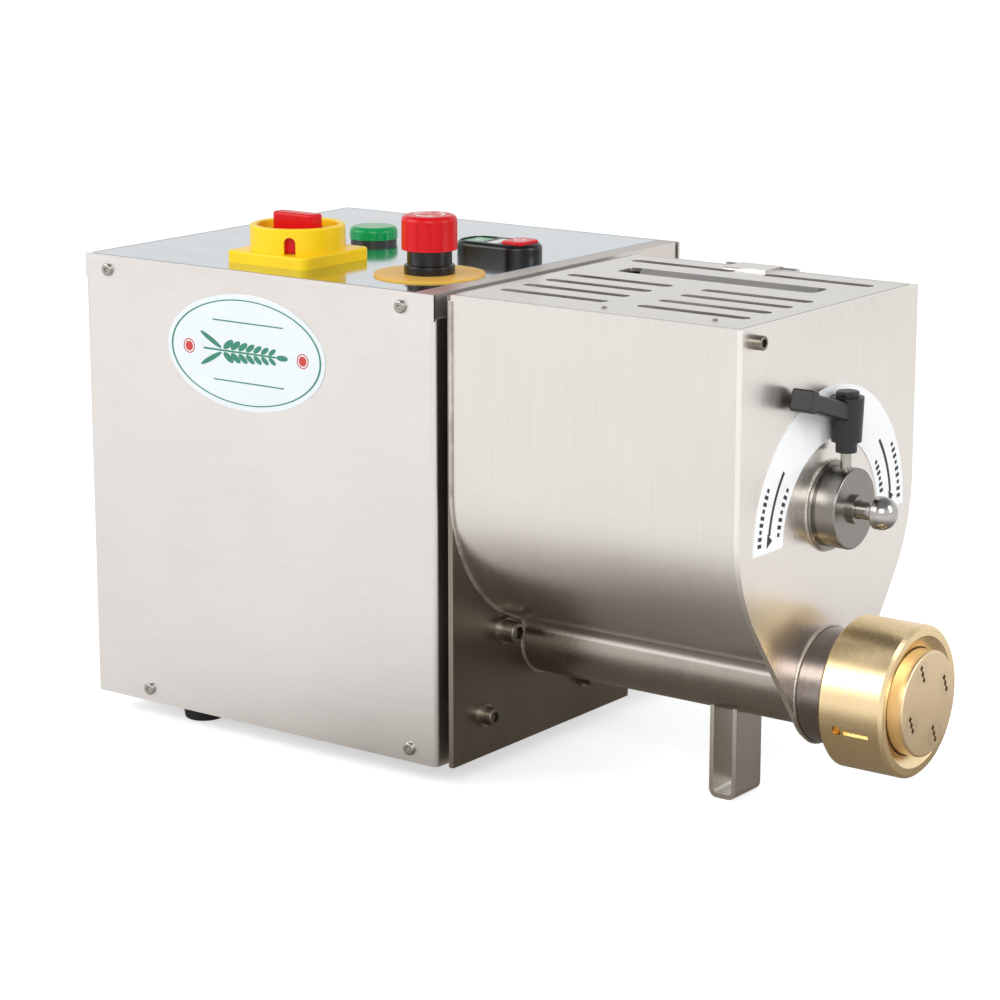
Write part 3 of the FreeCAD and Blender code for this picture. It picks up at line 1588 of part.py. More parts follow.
def build():
    export("base_tray", base_tray())
    export("near_side_cover", side_cover(-1))
    export("far_side_cover", side_cover(1))
    export("rear_cover", rear_cover())
    export("front_bulkhead", front_bulkhead())
    export("top_panel", top_panel())
    export("cover_screws", cover_screws())
    export("rubber_feet", rubber_feet())
    export("foot_fixings", group(foot_screws().Solids + foot_nuts().Solids))
    export("cable_gland", group([cable_gland(), gland_locknut()]))
    export("gland_cap", gland_cap())
    export("flange_plate", flange_plate())
    export("flange_screws", flange_screws())
    export("flange_washers", group(flange_washers().Solids + flange_spacers().Solids))
    export("hopper_shell", hopper_shell())
    export("extrusion_barrel", extrusion_barrel())
    export("end_plate", end_plate())
    export("end_plate_screw", end_plate_screw())
    export("strap_foot", strap_foot())
    export("lid_grille", lid_grille())
    export("hinge_knuckles", hinge_knuckles())
    export("hinge_pin", hinge_pin())
    export("hopper_brackets", group(lid_ledges() + [corner_block_solid()]))
    export("front_boss", front_boss())
    export("locking_pin", locking_pin())
    export("pin_knob", pin_knob())
    export("clamp_stud", clamp_stud())
    export("clamp_lever", clamp_lever())
    export("barrel_collar", barrel_collar())
    export("ring_nut", ring_nut())
    export("die_body", die_body())
    export("die_inserts", die_inserts())
    export("kneader", group([kneader(), kneader_bush()]))
    export("kneader_drive_shaft", kneader_drive_shaft())
    export("kneader_gear", kneader_gear())
    export("auger", fuse_all([auger(), auger_shaft()]))
    export("auger_gear", auger_gear())
    export("motor_pinion", fuse_all([motor_pinion(), pinion_shaft()]))
    export("gearbox_case", gearbox_case())
    export("gearbox_cover", gearbox_cover())
    export("shaft_bearings", shaft_bearings())
    export("shaft_seals", shaft_seals())
    export("drive_motor", group([fuse_all([motor_body(), motor_flange()]), motor_cap()]))
    export("run_capacitor", run_capacitor())
    export("contactor", fuse_all([contactor(), mounting_rail()]))
    export("switch_plate", fuse_all([switch_plate(), switch_ring()]))
    export("switch_handle", switch_handle())
    export("lamp_base", lamp_base())
    export("lamp_lens", lamp_lens())
    export("contact_blocks", group([
        contact_block(main_switch_place(), estop_stem_radius + sleeve_gap),
        contact_block(lamp_place(), lamp_stem_radius),
        contact_block(estop_place(), estop_stem_radius + sleeve_gap),
        twin_block()]))
    export("estop_disc", estop_disc())
    export("estop_base", estop_base())
    export("estop_plunger", estop_plunger())
    export("estop_cap", estop_cap())
    export("twin_bezel", twin_bezel())
    export("start_button", twin_cap(0))
    export("stop_button", twin_cap(1))
    export("twin_lens", twin_lens())
    export("oval_label", oval_label())
    export("direction_label", direction_label())


build()
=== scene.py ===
import math

import bmesh
import bpy
from mathutils import Matrix, Vector


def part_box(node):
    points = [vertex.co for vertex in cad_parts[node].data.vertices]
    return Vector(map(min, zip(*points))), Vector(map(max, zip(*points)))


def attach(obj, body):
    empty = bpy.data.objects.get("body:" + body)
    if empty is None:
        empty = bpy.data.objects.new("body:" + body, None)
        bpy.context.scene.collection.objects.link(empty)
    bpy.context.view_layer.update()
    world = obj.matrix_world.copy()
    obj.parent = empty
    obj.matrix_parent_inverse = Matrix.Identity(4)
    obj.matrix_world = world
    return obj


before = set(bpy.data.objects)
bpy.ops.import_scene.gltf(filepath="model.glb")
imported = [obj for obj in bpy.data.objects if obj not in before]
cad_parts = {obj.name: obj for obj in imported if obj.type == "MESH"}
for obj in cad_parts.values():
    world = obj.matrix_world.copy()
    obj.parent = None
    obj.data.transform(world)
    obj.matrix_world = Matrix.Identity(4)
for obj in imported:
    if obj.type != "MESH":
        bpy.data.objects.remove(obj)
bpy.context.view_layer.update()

# Studio
# A pale floor without an edge in view, white all round, and three soft boxes. Rays that
# mirror in the steel meet a floor with painted shade: a painted shadow, darkest and warm
# right under the hopper, and a painted dimming further out. They also meet a dim ceiling,
# in place of the white that the camera sees.

scene = bpy.context.scene
scene.view_settings.view_transform = "Standard"


def put_value(tree, socket, value):
    if isinstance(value, bpy.types.NodeSocket):
        tree.links.new(value, socket)
    else:
        socket.default_value = value


def add_node(tree, kind, **values):
    """A shader node with its settings and its named sockets filled in."""
    made = tree.nodes.new("ShaderNode" + kind)
    for key, value in values.items():
        if key in made.inputs:
            put_value(tree, made.inputs[key], value)
        else:
            setattr(made, key, value)
    return made


def maths(tree, operation, *values):
    made = add_node(tree, "Math", operation=operation)
    for socket, value in zip(made.inputs, values):
        put_value(tree, socket, value)
    return made.outputs[0]


def ramp(tree, factor, *stops):
    """A colour ramp; each stop is a place from 0 to 1 and a linear colour."""
    made = add_node(tree, "ValToRGB", Fac=factor)
    elements = made.color_ramp.elements
    while len(elements) < len(stops):
        elements.new(0.5)
    for element, (place, colour) in zip(elements, stops):
        element.position = place
        element.color = (*colour, 1.0)
    return made.outputs[0]


def colour_mix(tree, factor, first, second):
    """The first colour where the factor is 0, the second where it is 1."""
    made = add_node(tree, "Mix", data_type="RGBA")
    for index, value in ((0, factor), (6, first), (7, second)):
        put_value(tree, made.inputs[index], value)
    return made.outputs[2]


def paint(red, green, blue):
    """A colour given in screen values from 0 to 255, as linear light."""
    levels = (red, green, blue)
    return tuple(((v / 255 + 0.055) / 1.055) ** 2.4 if v > 10 else v / 3294.6 for v in levels)


white = (1.0, 1.0, 1.0, 1.0)
floor_half = 9.0
floor_albedo = paint(236, 238, 240)
floor_cloud = (0.88, 0.88, 0.88)
floor_cloud_scale = 3.0
floor_lift = 0.55
# Painted shadow on the floor, seen only by mirrored rays: its centre, its reach and its tone, then
# the painted dimming of the floor beyond it.
painted_shadow_centre = (0.13, 0.02, 0.0)
painted_shadow_reach = (0.13, 0.46)
painted_shadow_tone = (0.18, 0.16, 0.14)
painted_far_dimming = (0.67, 0.655, 0.65)

floor_mesh = bmesh.new()
bmesh.ops.create_grid(floor_mesh, x_segments=1, y_segments=1, size=floor_half)
floor_data = bpy.data.meshes.new("studio_floor")
floor_mesh.to_mesh(floor_data)
floor_mesh.free()
studio_floor = bpy.data.objects.new("studio_floor", floor_data)
scene.collection.objects.link(studio_floor)

floor_finish = bpy.data.materials.new("studio_floor")
floor_finish.use_nodes = True
tree = floor_finish.node_tree
tree.nodes.remove(tree.nodes["Principled BSDF"])
paths = add_node(tree, "LightPath")
seen = maths(tree, "MAXIMUM", paths.outputs["Is Camera Ray"], paths.outputs["Is Glossy Ray"])
seen = maths(tree, "MAXIMUM", seen, paths.outputs["Is Transmission Ray"])
here = add_node(tree, "TexCoord").outputs["Object"]
away = add_node(tree, "VectorMath", operation="DISTANCE")
put_value(tree, away.inputs[0], here)
away.inputs[1].default_value = painted_shadow_centre
near = add_node(tree, "MapRange", interpolation_type="SMOOTHSTEP", Value=away.outputs["Value"])
near.inputs["From Min"].default_value, near.inputs["From Max"].default_value = painted_shadow_reach
# Mirrored rays see the floor darkened by this painted shade; the camera sees it plain.
painted_shade_ramp = ramp(tree, near.outputs[0], (0.0, painted_shadow_tone), (1.0, painted_far_dimming))
painted_shade_for_mirrors = colour_mix(tree, paths.outputs["Is Glossy Ray"], white, painted_shade_ramp)
clouds = add_node(tree, "TexNoise", Scale=floor_cloud_scale, Detail=2.0).outputs[0]
pale = ramp(tree, clouds, (0.0, floor_albedo), (1.0, floor_cloud))
floor_colour = add_node(tree, "VectorMath", operation="MULTIPLY")
put_value(tree, floor_colour.inputs[0], pale)
put_value(tree, floor_colour.inputs[1], painted_shade_for_mirrors)
matt = add_node(tree, "BsdfDiffuse", Color=floor_colour.outputs[0])
lift = add_node(tree, "Emission", Color=painted_shade_for_mirrors, Strength=maths(tree, "MULTIPLY", seen, floor_lift))
both = tree.nodes.new("ShaderNodeAddShader")
tree.links.new(matt.outputs[0], both.inputs[0])
tree.links.new(lift.outputs[0], both.inputs[1])
tree.links.new(both.outputs[0], tree.nodes["Material Output"].inputs["Surface"])
floor_data.materials.append(floor_finish)

room_grey = (0.62, 0.62, 0.62, 1.0)
ceiling_stops = ((0.0, (0.92, 0.92, 0.92)), (0.42, (0.86, 0.87, 0.88)),
                 (0.72, (0.30, 0.30, 0.31)), (1.0, (0.22, 0.22, 0.23)))

world = bpy.data.worlds.new("studio")
scene.world = world
world.use_nodes = True
tree = world.node_tree
sky = tree.nodes["Background"]
paths = add_node(tree, "LightPath")
way = add_node(tree, "TexCoord").outputs["Generated"]
rise = add_node(tree, "SeparateXYZ", Vector=way).outputs["Z"]
ceiling = ramp(tree, rise, *ceiling_stops)
around = colour_mix(tree, paths.outputs["Is Glossy Ray"], room_grey, ceiling)
clear = maths(tree, "MAXIMUM", paths.outputs["Is Camera Ray"], paths.outputs["Is Transmission Ray"])
put_value(tree, sky.inputs["Color"], colour_mix(tree, clear, around, white))
sky.inputs["Strength"].default_value = 1.0


def soft_box(name, place, aim, width, height, power):
    lamp = bpy.data.lights.new(name, "AREA")
    lamp.shape = "RECTANGLE"
    lamp.size = width
    lamp.size_y = height
    lamp.energy = power
    box = bpy.data.objects.new(name, lamp)
    scene.collection.objects.link(box)
    box.location = place
    box.rotation_euler = (Vector(aim) - Vector(place)).to_track_quat("-Z", "Y").to_euler()


soft_box("key_box", (-1.35, -1.45, 1.15), (0.0, 0.0, 0.12), width=1.5, height=1.1, power=19.0)
soft_box("side_box", (1.9, 0.5, 1.0), (0.1, 0.0, 0.12), width=0.7, height=1.2, power=9.0)
soft_box("front_box", (1.25, -1.75, 1.25), (0.1, 0.0, 0.12), width=1.3, height=0.9, power=16.0)

camera_place = (0.9638, -1.3524, 0.5263)
camera_tilt = 76.74
camera_turn = 36.32
camera_lens = 110.4
camera_sensor = 36.0

camera = bpy.data.objects.new("camera", bpy.data.cameras.new("camera"))
scene.collection.objects.link(camera)
camera.data.lens = camera_lens
camera.data.sensor_width = camera_sensor
camera.location = camera_place
camera.rotation_euler = (math.radians(camera_tilt), 0.0, math.radians(camera_turn))
scene.camera = camera

# Housing covers
# Bent stainless sheet with a satin brushed face, 1.5 mm thick, screwed to the tray and
# the top panel. The brushing runs along the sheet, and hands leave faint cloudy marks.


def new_finish(name, metallic, **sockets):
    """A material whose shader has these constants, as (material, node tree, shader)."""
    finish = bpy.data.materials.new(name)
    finish.use_nodes = True
    shader = finish.node_tree.nodes["Principled BSDF"]
    shader.inputs["Metallic"].default_value = metallic
    for key, value in sockets.items():
        shader.inputs[key.replace("_", " ")].default_value = value
    return finish, finish.node_tree, shader


def shade(colour, amount):
    return tuple(min(1.0, c * amount) for c in colour)


def noise(tree, vector, scale, detail, roughness=0.5):
    made = add_node(tree, "TexNoise", Vector=vector, Scale=scale, Detail=detail, Roughness=roughness)
    return made.outputs[0]


def tint(tree, shader, factor, colour, contrast, edge=0.35):
    """The base colour, from a darker to a lighter shade of one colour along the factor."""
    dark, light = shade(colour, 1 - contrast), shade(colour, 1 + contrast)
    tree.links.new(ramp(tree, factor, (edge, dark), (1 - edge, light)), shader.inputs["Base Color"])


def wear(tree, shader, roughness, broad, broad_range, fine, fine_range):
    """Roughness about one mean, varied over a range by a broad noise and by a fine one."""
    rough = maths(tree, "MULTIPLY_ADD", broad, broad_range, roughness - broad_range / 2)
    rough = maths(tree, "SUBTRACT", rough, fine_range / 2)
    rough = maths(tree, "MULTIPLY_ADD", fine, fine_range, rough)
    tree.links.new(rough, shader.inputs["Roughness"])


def raise_bump(tree, shader, height, depth):
    bump = add_node(tree, "Bump", Height=height, Strength=1.0, Distance=depth)
    tree.links.new(bump.outputs[0], shader.inputs["Normal"])


def brushed_steel(name, colour, grain_size, roughness, contrast=0.07, depth=2.5e-5, cloud=0.06):
    """Sheet with a brushed grain; grain_size is one grain's size along x, y and z in metres."""
    finish, tree, shader = new_finish(name, 1.0)
    here = add_node(tree, "TexCoord").outputs["Object"]
    along = add_node(tree, "Mapping", vector_type="TEXTURE", Vector=here, Scale=grain_size)
    lines = noise(tree, along.outputs[0], scale=1.0, detail=3.0, roughness=0.6)
    marks = noise(tree, here, scale=1 / cloud, detail=4.0, roughness=0.55)
    mixed = maths(tree, "MULTIPLY_ADD", lines, 0.6, maths(tree, "MULTIPLY", marks, 0.4))
    tint(tree, shader, mixed, colour, contrast)
    wear(tree, shader, roughness, broad=marks, broad_range=0.16, fine=lines, fine_range=0.10)
    raise_bump(tree, shader, lines, depth)
    return finish


def dress(finish, *names):
    """The finish goes onto these CAD nodes."""
    for name in names:
        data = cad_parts[name].data
        data.materials.clear()
        data.materials.append(finish)


cover_colour = paint(226, 222, 218)
lip_colour = paint(222, 217, 210)
tray_colour = paint(176, 176, 174)
along_x = (0.05, 0.0007, 0.0007)
along_y = (0.0007, 0.05, 0.0007)
tray_grain = (0.03, 0.001, 0.001)
soft_contrast = 0.03
soft_depth = 1e-5

dress(brushed_steel("cover_steel", cover_colour, along_x, 0.34, soft_contrast, soft_depth),
      "near_side_cover", "far_side_cover")
dress(brushed_steel("rear_steel", shade(cover_colour, 0.96), along_y, roughness=0.36),
      "rear_cover")
dress(brushed_steel("lip_steel", lip_colour, along_y, roughness=0.48), "front_bulkhead")
dress(brushed_steel("tray_steel", tray_colour, tray_grain, roughness=0.42, cloud=0.03),
      "base_tray")

# Top panel
# A folded stainless panel with a bright, nearly mirror face: it doubles the devices
# that stand on it. Its blue-grey is a painted reflection of the room's light, with faint wiping
# marks.

# Blue-grey base colour: a painted reflection of the room's light.
panel_painted_reflection_colour = paint(196, 204, 209)
wipe_size = (0.06, 0.012, 0.05)
hair_size = (0.09, 0.0005, 0.1)
hair_depth = 6e-6
wipe_range = 0.10
clean_roughness = 0.05
panel_finish, tree, shader = new_finish("panel_steel", 1.0)
here = add_node(tree, "TexCoord").outputs["Object"]
wiped = add_node(tree, "Mapping", vector_type="TEXTURE", Vector=here, Scale=wipe_size).outputs[0]
wipes = add_node(tree, "TexNoise", Vector=wiped, Scale=1.0, Detail=5.0, Roughness=0.6,
                 Distortion=0.4).outputs[0]
combed = add_node(tree, "Mapping", vector_type="TEXTURE", Vector=here, Scale=hair_size).outputs[0]
hairs = noise(tree, combed, scale=1.0, detail=2.0)
tone = ramp(tree, wipes, (0.3, shade(panel_painted_reflection_colour, 0.94)), (0.7, shade(panel_painted_reflection_colour, 1.05)))
tree.links.new(tone, shader.inputs["Base Color"])
rough = maths(tree, "MULTIPLY_ADD", wipes, wipe_range, clean_roughness)
tree.links.new(rough, shader.inputs["Roughness"])
raise_bump(tree, shader, hairs, hair_depth)
dress(panel_finish, "top_panel")

# Screws, washers and the hinge pin
# Turned and rolled stainless fasteners: bright button heads on the sheets, darker cap
# heads on the hopper. An even fine grain stands for tool marks and handling.


def speckled_metal(name, colour, roughness, size, contrast=0.12, depth=1.5e-5):
    """Cast, rolled or sintered metal with an even fine grain of one size in metres."""
    finish, tree, shader = new_finish(name, 1.0)
    here = add_node(tree, "TexCoord").outputs["Object"]
    spots = noise(tree, here, scale=1 / size, detail=4.0, roughness=0.6)
    broad = noise(tree, here, scale=0.12 / size, detail=2.0)
    mixed = maths(tree, "MULTIPLY_ADD", spots, 0.5, maths(tree, "MULTIPLY", broad, 0.5))
    tint(tree, shader, mixed, colour, contrast)
    rough = maths(tree, "MULTIPLY_ADD", broad, 0.2, roughness - 0.1)
    tree.links.new(rough, shader.inputs["Roughness"])
    raise_bump(tree, shader, spots, depth)
    return finish


dress(speckled_metal("screw_steel", paint(170, 166, 160), roughness=0.30, size=0.0012),
      "cover_screws", "foot_fixings")
dress(speckled_metal("cap_screw_steel", paint(138, 132, 122), roughness=0.32, size=0.0012),
      "flange_screws", "end_plate_screw")
dress(speckled_metal("washer_steel", paint(176, 171, 163), roughness=0.28, size=0.001),
      "flange_washers", "hinge_pin")

# Feet, cable gland and shaft seals
# Moulded black rubber feet with a matt, dusty skin, a black nylon gland for the mains
# lead with a fine spark grain, and brown rubber seals round the two shafts.


def moulded(name, colour, roughness, grain_size=0.0009, depth=1.2e-5, contrast=0.06, **sockets):
    """Plastic or rubber from a mould: even colour, slight cloud, fine spark-eroded grain."""
    finish, tree, shader = new_finish(name, 0.0, **sockets)
    here = add_node(tree, "TexCoord").outputs["Object"]
    spark = noise(tree, here, scale=1 / grain_size, detail=2.0)
    cloud = noise(tree, here, scale=45.0, detail=3.0)
    tint(tree, shader, cloud, colour, contrast, edge=0.3)
    wear(tree, shader, roughness, broad=cloud, broad_range=0.14, fine=spark, fine_range=0.06)
    raise_bump(tree, shader, spark, depth)
    return finish


rubber_grain = 0.0015
dress(moulded("foot_rubber", paint(30, 29, 30), 0.75, rubber_grain, depth=4e-5, contrast=0.25),
      "rubber_feet")
dress(moulded("gland_nylon", paint(34, 34, 36), roughness=0.48), "cable_gland", "gland_cap")
dress(moulded("seal_rubber", paint(58, 40, 34), 0.6, rubber_grain, depth=3e-5), "shaft_seals")

# Hopper
# A folded and welded trough in satin stainless sheet, with a strap foot below. The flange
# plate behind it is painted darker as painted shade for the dark reflections under the hopper,
# and the end plate in front is a paler satin, partly painted light.

trough_colour = paint(226, 221, 216)
# Painted darker than the trough's steel: painted shade standing in for its dark reflections.
flange_painted_shade_colour = paint(144, 136, 125)
# Paler than the trough's steel: its own satin colour raised as painted light.
end_colour_with_painted_light = paint(242, 237, 231)
strap_colour = paint(226, 221, 212)
round_trough = (0.0008, 0.05, 0.05)
flange_grain = (0.0008, 0.0008, 0.06)
end_grain = (0.0007, 0.0007, 0.05)
strap_grain = (0.0007, 0.0007, 0.04)

dress(brushed_steel("hopper_steel", trough_colour, round_trough, 0.31, soft_contrast, soft_depth),
      "hopper_shell", "hopper_brackets")
dress(brushed_steel("flange_steel", flange_painted_shade_colour, flange_grain, roughness=0.30), "flange_plate")
dress(brushed_steel("end_plate_steel", end_colour_with_painted_light, end_grain, roughness=0.29, contrast=0.04),
      "end_plate")
dress(brushed_steel("strap_steel", strap_colour, strap_grain, roughness=0.33), "strap_foot")

# Turned parts at the front
# The extrusion barrel, its collar, the boss and the pin are turned on a lathe, so
# their marks are rings about their own axis, even on cylinders and faces alike.

trough_y = -0.0265
kneader_z = 0.165
auger_z = 0.070


def turned_metal(name, colour, axis_z, roughness, ring=0.0006, contrast=0.08, depth=1.2e-5,
                 stain=0.1):
    """Metal turned about an axis along x that passes through trough_y and axis_z."""
    finish, tree, shader = new_finish(name, 1.0)
    here = add_node(tree, "TexCoord").outputs["Object"]
    centred = add_node(tree, "Mapping", vector_type="TEXTURE", Vector=here,
                       Location=(0.0, trough_y, axis_z)).outputs[0]
    parts = add_node(tree, "SeparateXYZ", Vector=centred).outputs
    flat = add_node(tree, "CombineXYZ", Y=parts["Y"], Z=parts["Z"]).outputs[0]
    length = add_node(tree, "VectorMath", operation="LENGTH")
    put_value(tree, length.inputs[0], flat)
    rings = add_node(tree, "CombineXYZ", X=parts["X"], Y=length.outputs["Value"]).outputs[0]
    lines = noise(tree, rings, scale=1 / ring, detail=3.0, roughness=0.6)
    stains = noise(tree, here, scale=38.0, detail=4.0, roughness=0.6)
    mixed = maths(tree, "MULTIPLY_ADD", lines, 0.5, maths(tree, "MULTIPLY", stains, 0.5))
    tint(tree, shader, mixed, colour, contrast)
    wear(tree, shader, roughness, broad=stains, broad_range=stain, fine=lines, fine_range=0.06)
    raise_bump(tree, shader, lines, depth)
    return finish


dress(turned_metal("barrel_steel", paint(176, 168, 158), auger_z, roughness=0.28),
      "extrusion_barrel")
dress(turned_metal("collar_steel", paint(150, 140, 134), auger_z, roughness=0.22, contrast=0.14),
      "barrel_collar")
dress(turned_metal("boss_steel", paint(148, 145, 140), kneader_z, roughness=0.26), "front_boss")
dress(turned_metal("pin_steel", paint(188, 185, 181), kneader_z, roughness=0.14, stain=0.06),
      "locking_pin", "pin_knob")

# Welds
# Ground TIG beads where the trough and the barrel meet the flange plate, and round the
# boss and the collar on the end plate. Rippled, a little bluer than the sheet.

flange_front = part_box("flange_plate")[1].x
end_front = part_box("end_plate")[1].x
lid_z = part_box("end_plate")[1].z
trough_radius = 0.086
barrel_radius = 0.023
valley_out = 0.02805
valley_z = 0.07738
valley_radius = 0.006
rim_gap = 0.003
bead_stand = 0.0003
flange_bead = 0.0013
boss_bead = 0.0007
boss_ring = 0.0234
collar_bead = 0.0009
collar_ring = 0.0307
ripple_depth = 1.5e-4

weld_finish, tree, shader = new_finish("weld_steel", 1.0)
here = add_node(tree, "TexCoord").outputs["Object"]
ripple = add_node(tree, "TexVoronoi", Vector=here, Scale=620.0).outputs["Distance"]
heat = noise(tree, here, scale=60.0, detail=3.0)
tone = ramp(tree, heat, (0.3, paint(168, 160, 150)), (0.55, paint(214, 208, 200)),
            (0.8, paint(176, 176, 186)))
tree.links.new(tone, shader.inputs["Base Color"])
tree.links.new(maths(tree, "MULTIPLY_ADD", ripple, 0.2, 0.24), shader.inputs["Roughness"])
raise_bump(tree, shader, ripple, ripple_depth)


def arc_points(y, z, radius, start, stop, steps):
    """Points on an arc in the plane square to x; angles in degrees from +y towards +z."""
    for k in range(steps + 1):
        angle = math.radians(start + (stop - start) * k / steps)
        yield y + radius * math.cos(angle), z + radius * math.sin(angle)


def weld_bead(name, x, outline, radius):
    line = bpy.data.curves.new(name, "CURVE")
    line.dimensions = "3D"
    line.bevel_depth = radius
    line.bevel_resolution = 2
    line.use_fill_caps = True
    spline = line.splines.new("POLY")
    points = list(outline)
    spline.points.add(len(points) - 1)
    for point, (y, z) in zip(spline.points, points):
        point.co = (x, y, z, 1.0)
    bead = bpy.data.objects.new(name, line)
    scene.collection.objects.link(bead)
    line.materials.append(weld_finish)
    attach(bead, "housing")


def trough_outline(grow):
    """The trough's and the barrel's outline from the near rim round to the far rim."""
    valley = math.degrees(math.atan2(kneader_z - valley_z, valley_out))
    tail = math.degrees(math.atan2(valley_z - auger_z, valley_out))
    wide = trough_radius + grow
    narrow = barrel_radius + grow
    inner = valley_radius - grow
    yield trough_y - wide, lid_z - rim_gap
    yield from arc_points(trough_y, kneader_z, wide, 180, 180 + valley, 16)
    yield from arc_points(trough_y - valley_out, valley_z, inner, valley, -tail, 8)
    yield from arc_points(trough_y, auger_z, narrow, 180 - tail, 360 + tail, 24)
    yield from arc_points(trough_y + valley_out, valley_z, inner, 180 + tail, 180 - valley, 8)
    yield from arc_points(trough_y, kneader_z, wide, 360 - valley, 360, 16)
    yield trough_y + wide, lid_z - rim_gap


weld_bead("flange_weld", flange_front, trough_outline(bead_stand), flange_bead)
weld_bead("boss_weld", end_front, arc_points(trough_y, kneader_z, boss_ring, 0, 360, 40), boss_bead)
weld_bead("collar_weld", end_front, arc_points(trough_y, auger_z, collar_ring, 0, 360, 48),
          collar_bead)

# Lid grille and hinge
# A laser-cut stainless lid with rows of slots and a feed opening, deburred and
# lightly brushed along the slots, on one small welded hinge. Two rivet heads near its
# side rim hold nothing that shows.

rivet_places = ((0.1058, -0.0970), (0.1703, -0.0948))
rivet_foot_radius = 0.0021
rivet_crown_radius = 0.0013
rivet_height = 0.0010
rivet_middle = lid_z + 0.0004

lid_finish = brushed_steel("lid_steel", paint(228, 224, 219), along_x, roughness=0.30)
dress(lid_finish, "lid_grille", "hinge_knuckles")


def add_piece(sheet, name, finish, body):
    data = bpy.data.meshes.new(name)
    sheet.to_mesh(data)
    sheet.free()
    piece = bpy.data.objects.new(name, data)
    scene.collection.objects.link(piece)
    data.materials.append(finish)
    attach(piece, body)


rivets = bmesh.new()
for x, y in rivet_places:
    bmesh.ops.create_cone(rivets, cap_ends=True, segments=24, radius1=rivet_foot_radius,
                          radius2=rivet_crown_radius, depth=rivet_height,
                          matrix=Matrix.Translation((x, y, rivet_middle)))
add_piece(rivets, "lid_rivets", lid_finish, "lid")

# Kneader and auger
# Investment-cast stainless kneading arms and a turned auger, with flour dust dulling
# the cast skin. They show through the lid's slots and when the lid is open.

dress(speckled_metal("cast_steel", paint(176, 172, 165), 0.40, size=0.0022, depth=5e-5),
      "kneader", "kneader_drive_shaft")
dress(turned_metal("auger_steel", paint(190, 186, 178), auger_z, roughness=0.26), "auger")

# Ring nut and die
# The nut is turned from solid brass and polished; the die is bronze with a finer,
# duller face, and its inserts are pressed in. Handling leaves light stains.

brass = (0.99, 0.76, 0.44)
die_bronze = (0.95, 0.75, 0.48)
insert_bronze = (0.88, 0.70, 0.46)
dress(turned_metal("nut_brass", brass, auger_z, 0.27, ring=0.0009, contrast=0.05, depth=6e-6),
      "ring_nut")
dress(turned_metal("die_bronze", die_bronze, auger_z, 0.34, contrast=0.05), "die_body")
dress(speckled_metal("insert_bronze", insert_bronze, 0.34, 0.0012, contrast=0.08), "die_inserts")

# Clamp lever
# A black glass-filled nylon lever on a zinc-plated stud: rough spark grain on the arm
# and a soft sheen.

dress(moulded("lever_nylon", paint(30, 29, 30), 0.36, 0.0007, depth=2.5e-5, contrast=0.14),
      "clamp_lever")
dress(speckled_metal("stud_steel", paint(180, 178, 172), roughness=0.25, size=0.001),
      "clamp_stud")

# Main switch
# A yellow moulded plate and ring with padlock windows, and a red handle inside it.
# Glossy thermoplastic that mirrors the room a little; it carries no writing. The caps
# to stop the machine are moulded in the same red.

yellow = paint(255, 214, 24)
red = paint(214, 8, 20)
dress(moulded("yellow_plastic", yellow, 0.30, contrast=0.03, Specular_IOR_Level=0.3),
      "switch_plate")
dress(moulded("red_plastic", red, 0.28, contrast=0.04, Specular_IOR_Level=0.3),
      "switch_handle", "estop_cap", "stop_button")

# Lamp
# A green polycarbonate lens over a black moulded base. It is deep green with a glossy
# skin; the start button is moulded in the same green.

green = paint(4, 150, 80)
dress(moulded("green_plastic", green, 0.16, contrast=0.08, Specular_IOR_Level=0.35),
      "lamp_lens", "start_button")
dress(moulded("lamp_base_plastic", paint(40, 38, 38), roughness=0.38), "lamp_base")

# Emergency stop
# A black base and neck on an ochre disc, under a fluted red cap. Three white arrows
# on the cap's top show which way it is turned to let it go.

ochre = paint(238, 188, 84)
dress(moulded("black_plastic", paint(20, 18, 19), 0.26, contrast=0.1, Specular_IOR_Level=0.4),
      "estop_base", "estop_plunger", "twin_bezel")
dress(moulded("ochre_plastic", ochre, 0.4, contrast=0.03, Specular_IOR_Level=0.25), "estop_disc")
white_finish = moulded("white_plastic", paint(238, 238, 234), 0.35, contrast=0.02)

arrow_radius = 0.0078
arrow_width = 0.0012
arrow_sweep = 62
arrow_tip = 70
arrow_head = 0.0024
arrow_height = 0.00012


def plane_at(origin, across, up):
    """A drawing plane whose own x and y are the two directions given."""
    across, up = Vector(across), Vector(up)
    turned = Matrix((across, up, across.cross(up))).transposed()
    return Matrix.Translation(origin) @ turned.to_4x4()


def top_plane(node):
    """A drawing plane on the middle of a node's top."""
    low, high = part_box(node)
    return plane_at(((low.x + high.x) / 2, (low.y + high.y) / 2, high.z), (1, 0, 0), (0, 1, 0))


def draw_disc(sheet, x, y, half_x, half_y, angle=0.0, segments=24):
    """A flat oval, or with three segments an arrow's head."""
    place = Matrix.Translation((x, y, 0.0)) @ Matrix.Rotation(angle, 4, "Z")
    bmesh.ops.create_circle(sheet, cap_ends=True, segments=segments, radius=1.0,
                            matrix=place @ Matrix.Diagonal((half_x, half_y, 1.0, 1.0)))


def draw_arc(sheet, radius, width, start, sweep, steps=24):
    """A curved band about the plane's origin; angles in degrees."""
    way = Vector((math.cos(math.radians(start)), math.sin(math.radians(start)), 0.0))
    ends = [sheet.verts.new(way * (radius + side * width / 2)) for side in (-1, 1)]
    edge = sheet.edges.new(ends)
    bmesh.ops.spin(sheet, geom=[*ends, edge], cent=(0, 0, 0), axis=(0, 0, 1),
                   angle=math.radians(sweep), steps=steps, use_merge=abs(sweep) > 359)


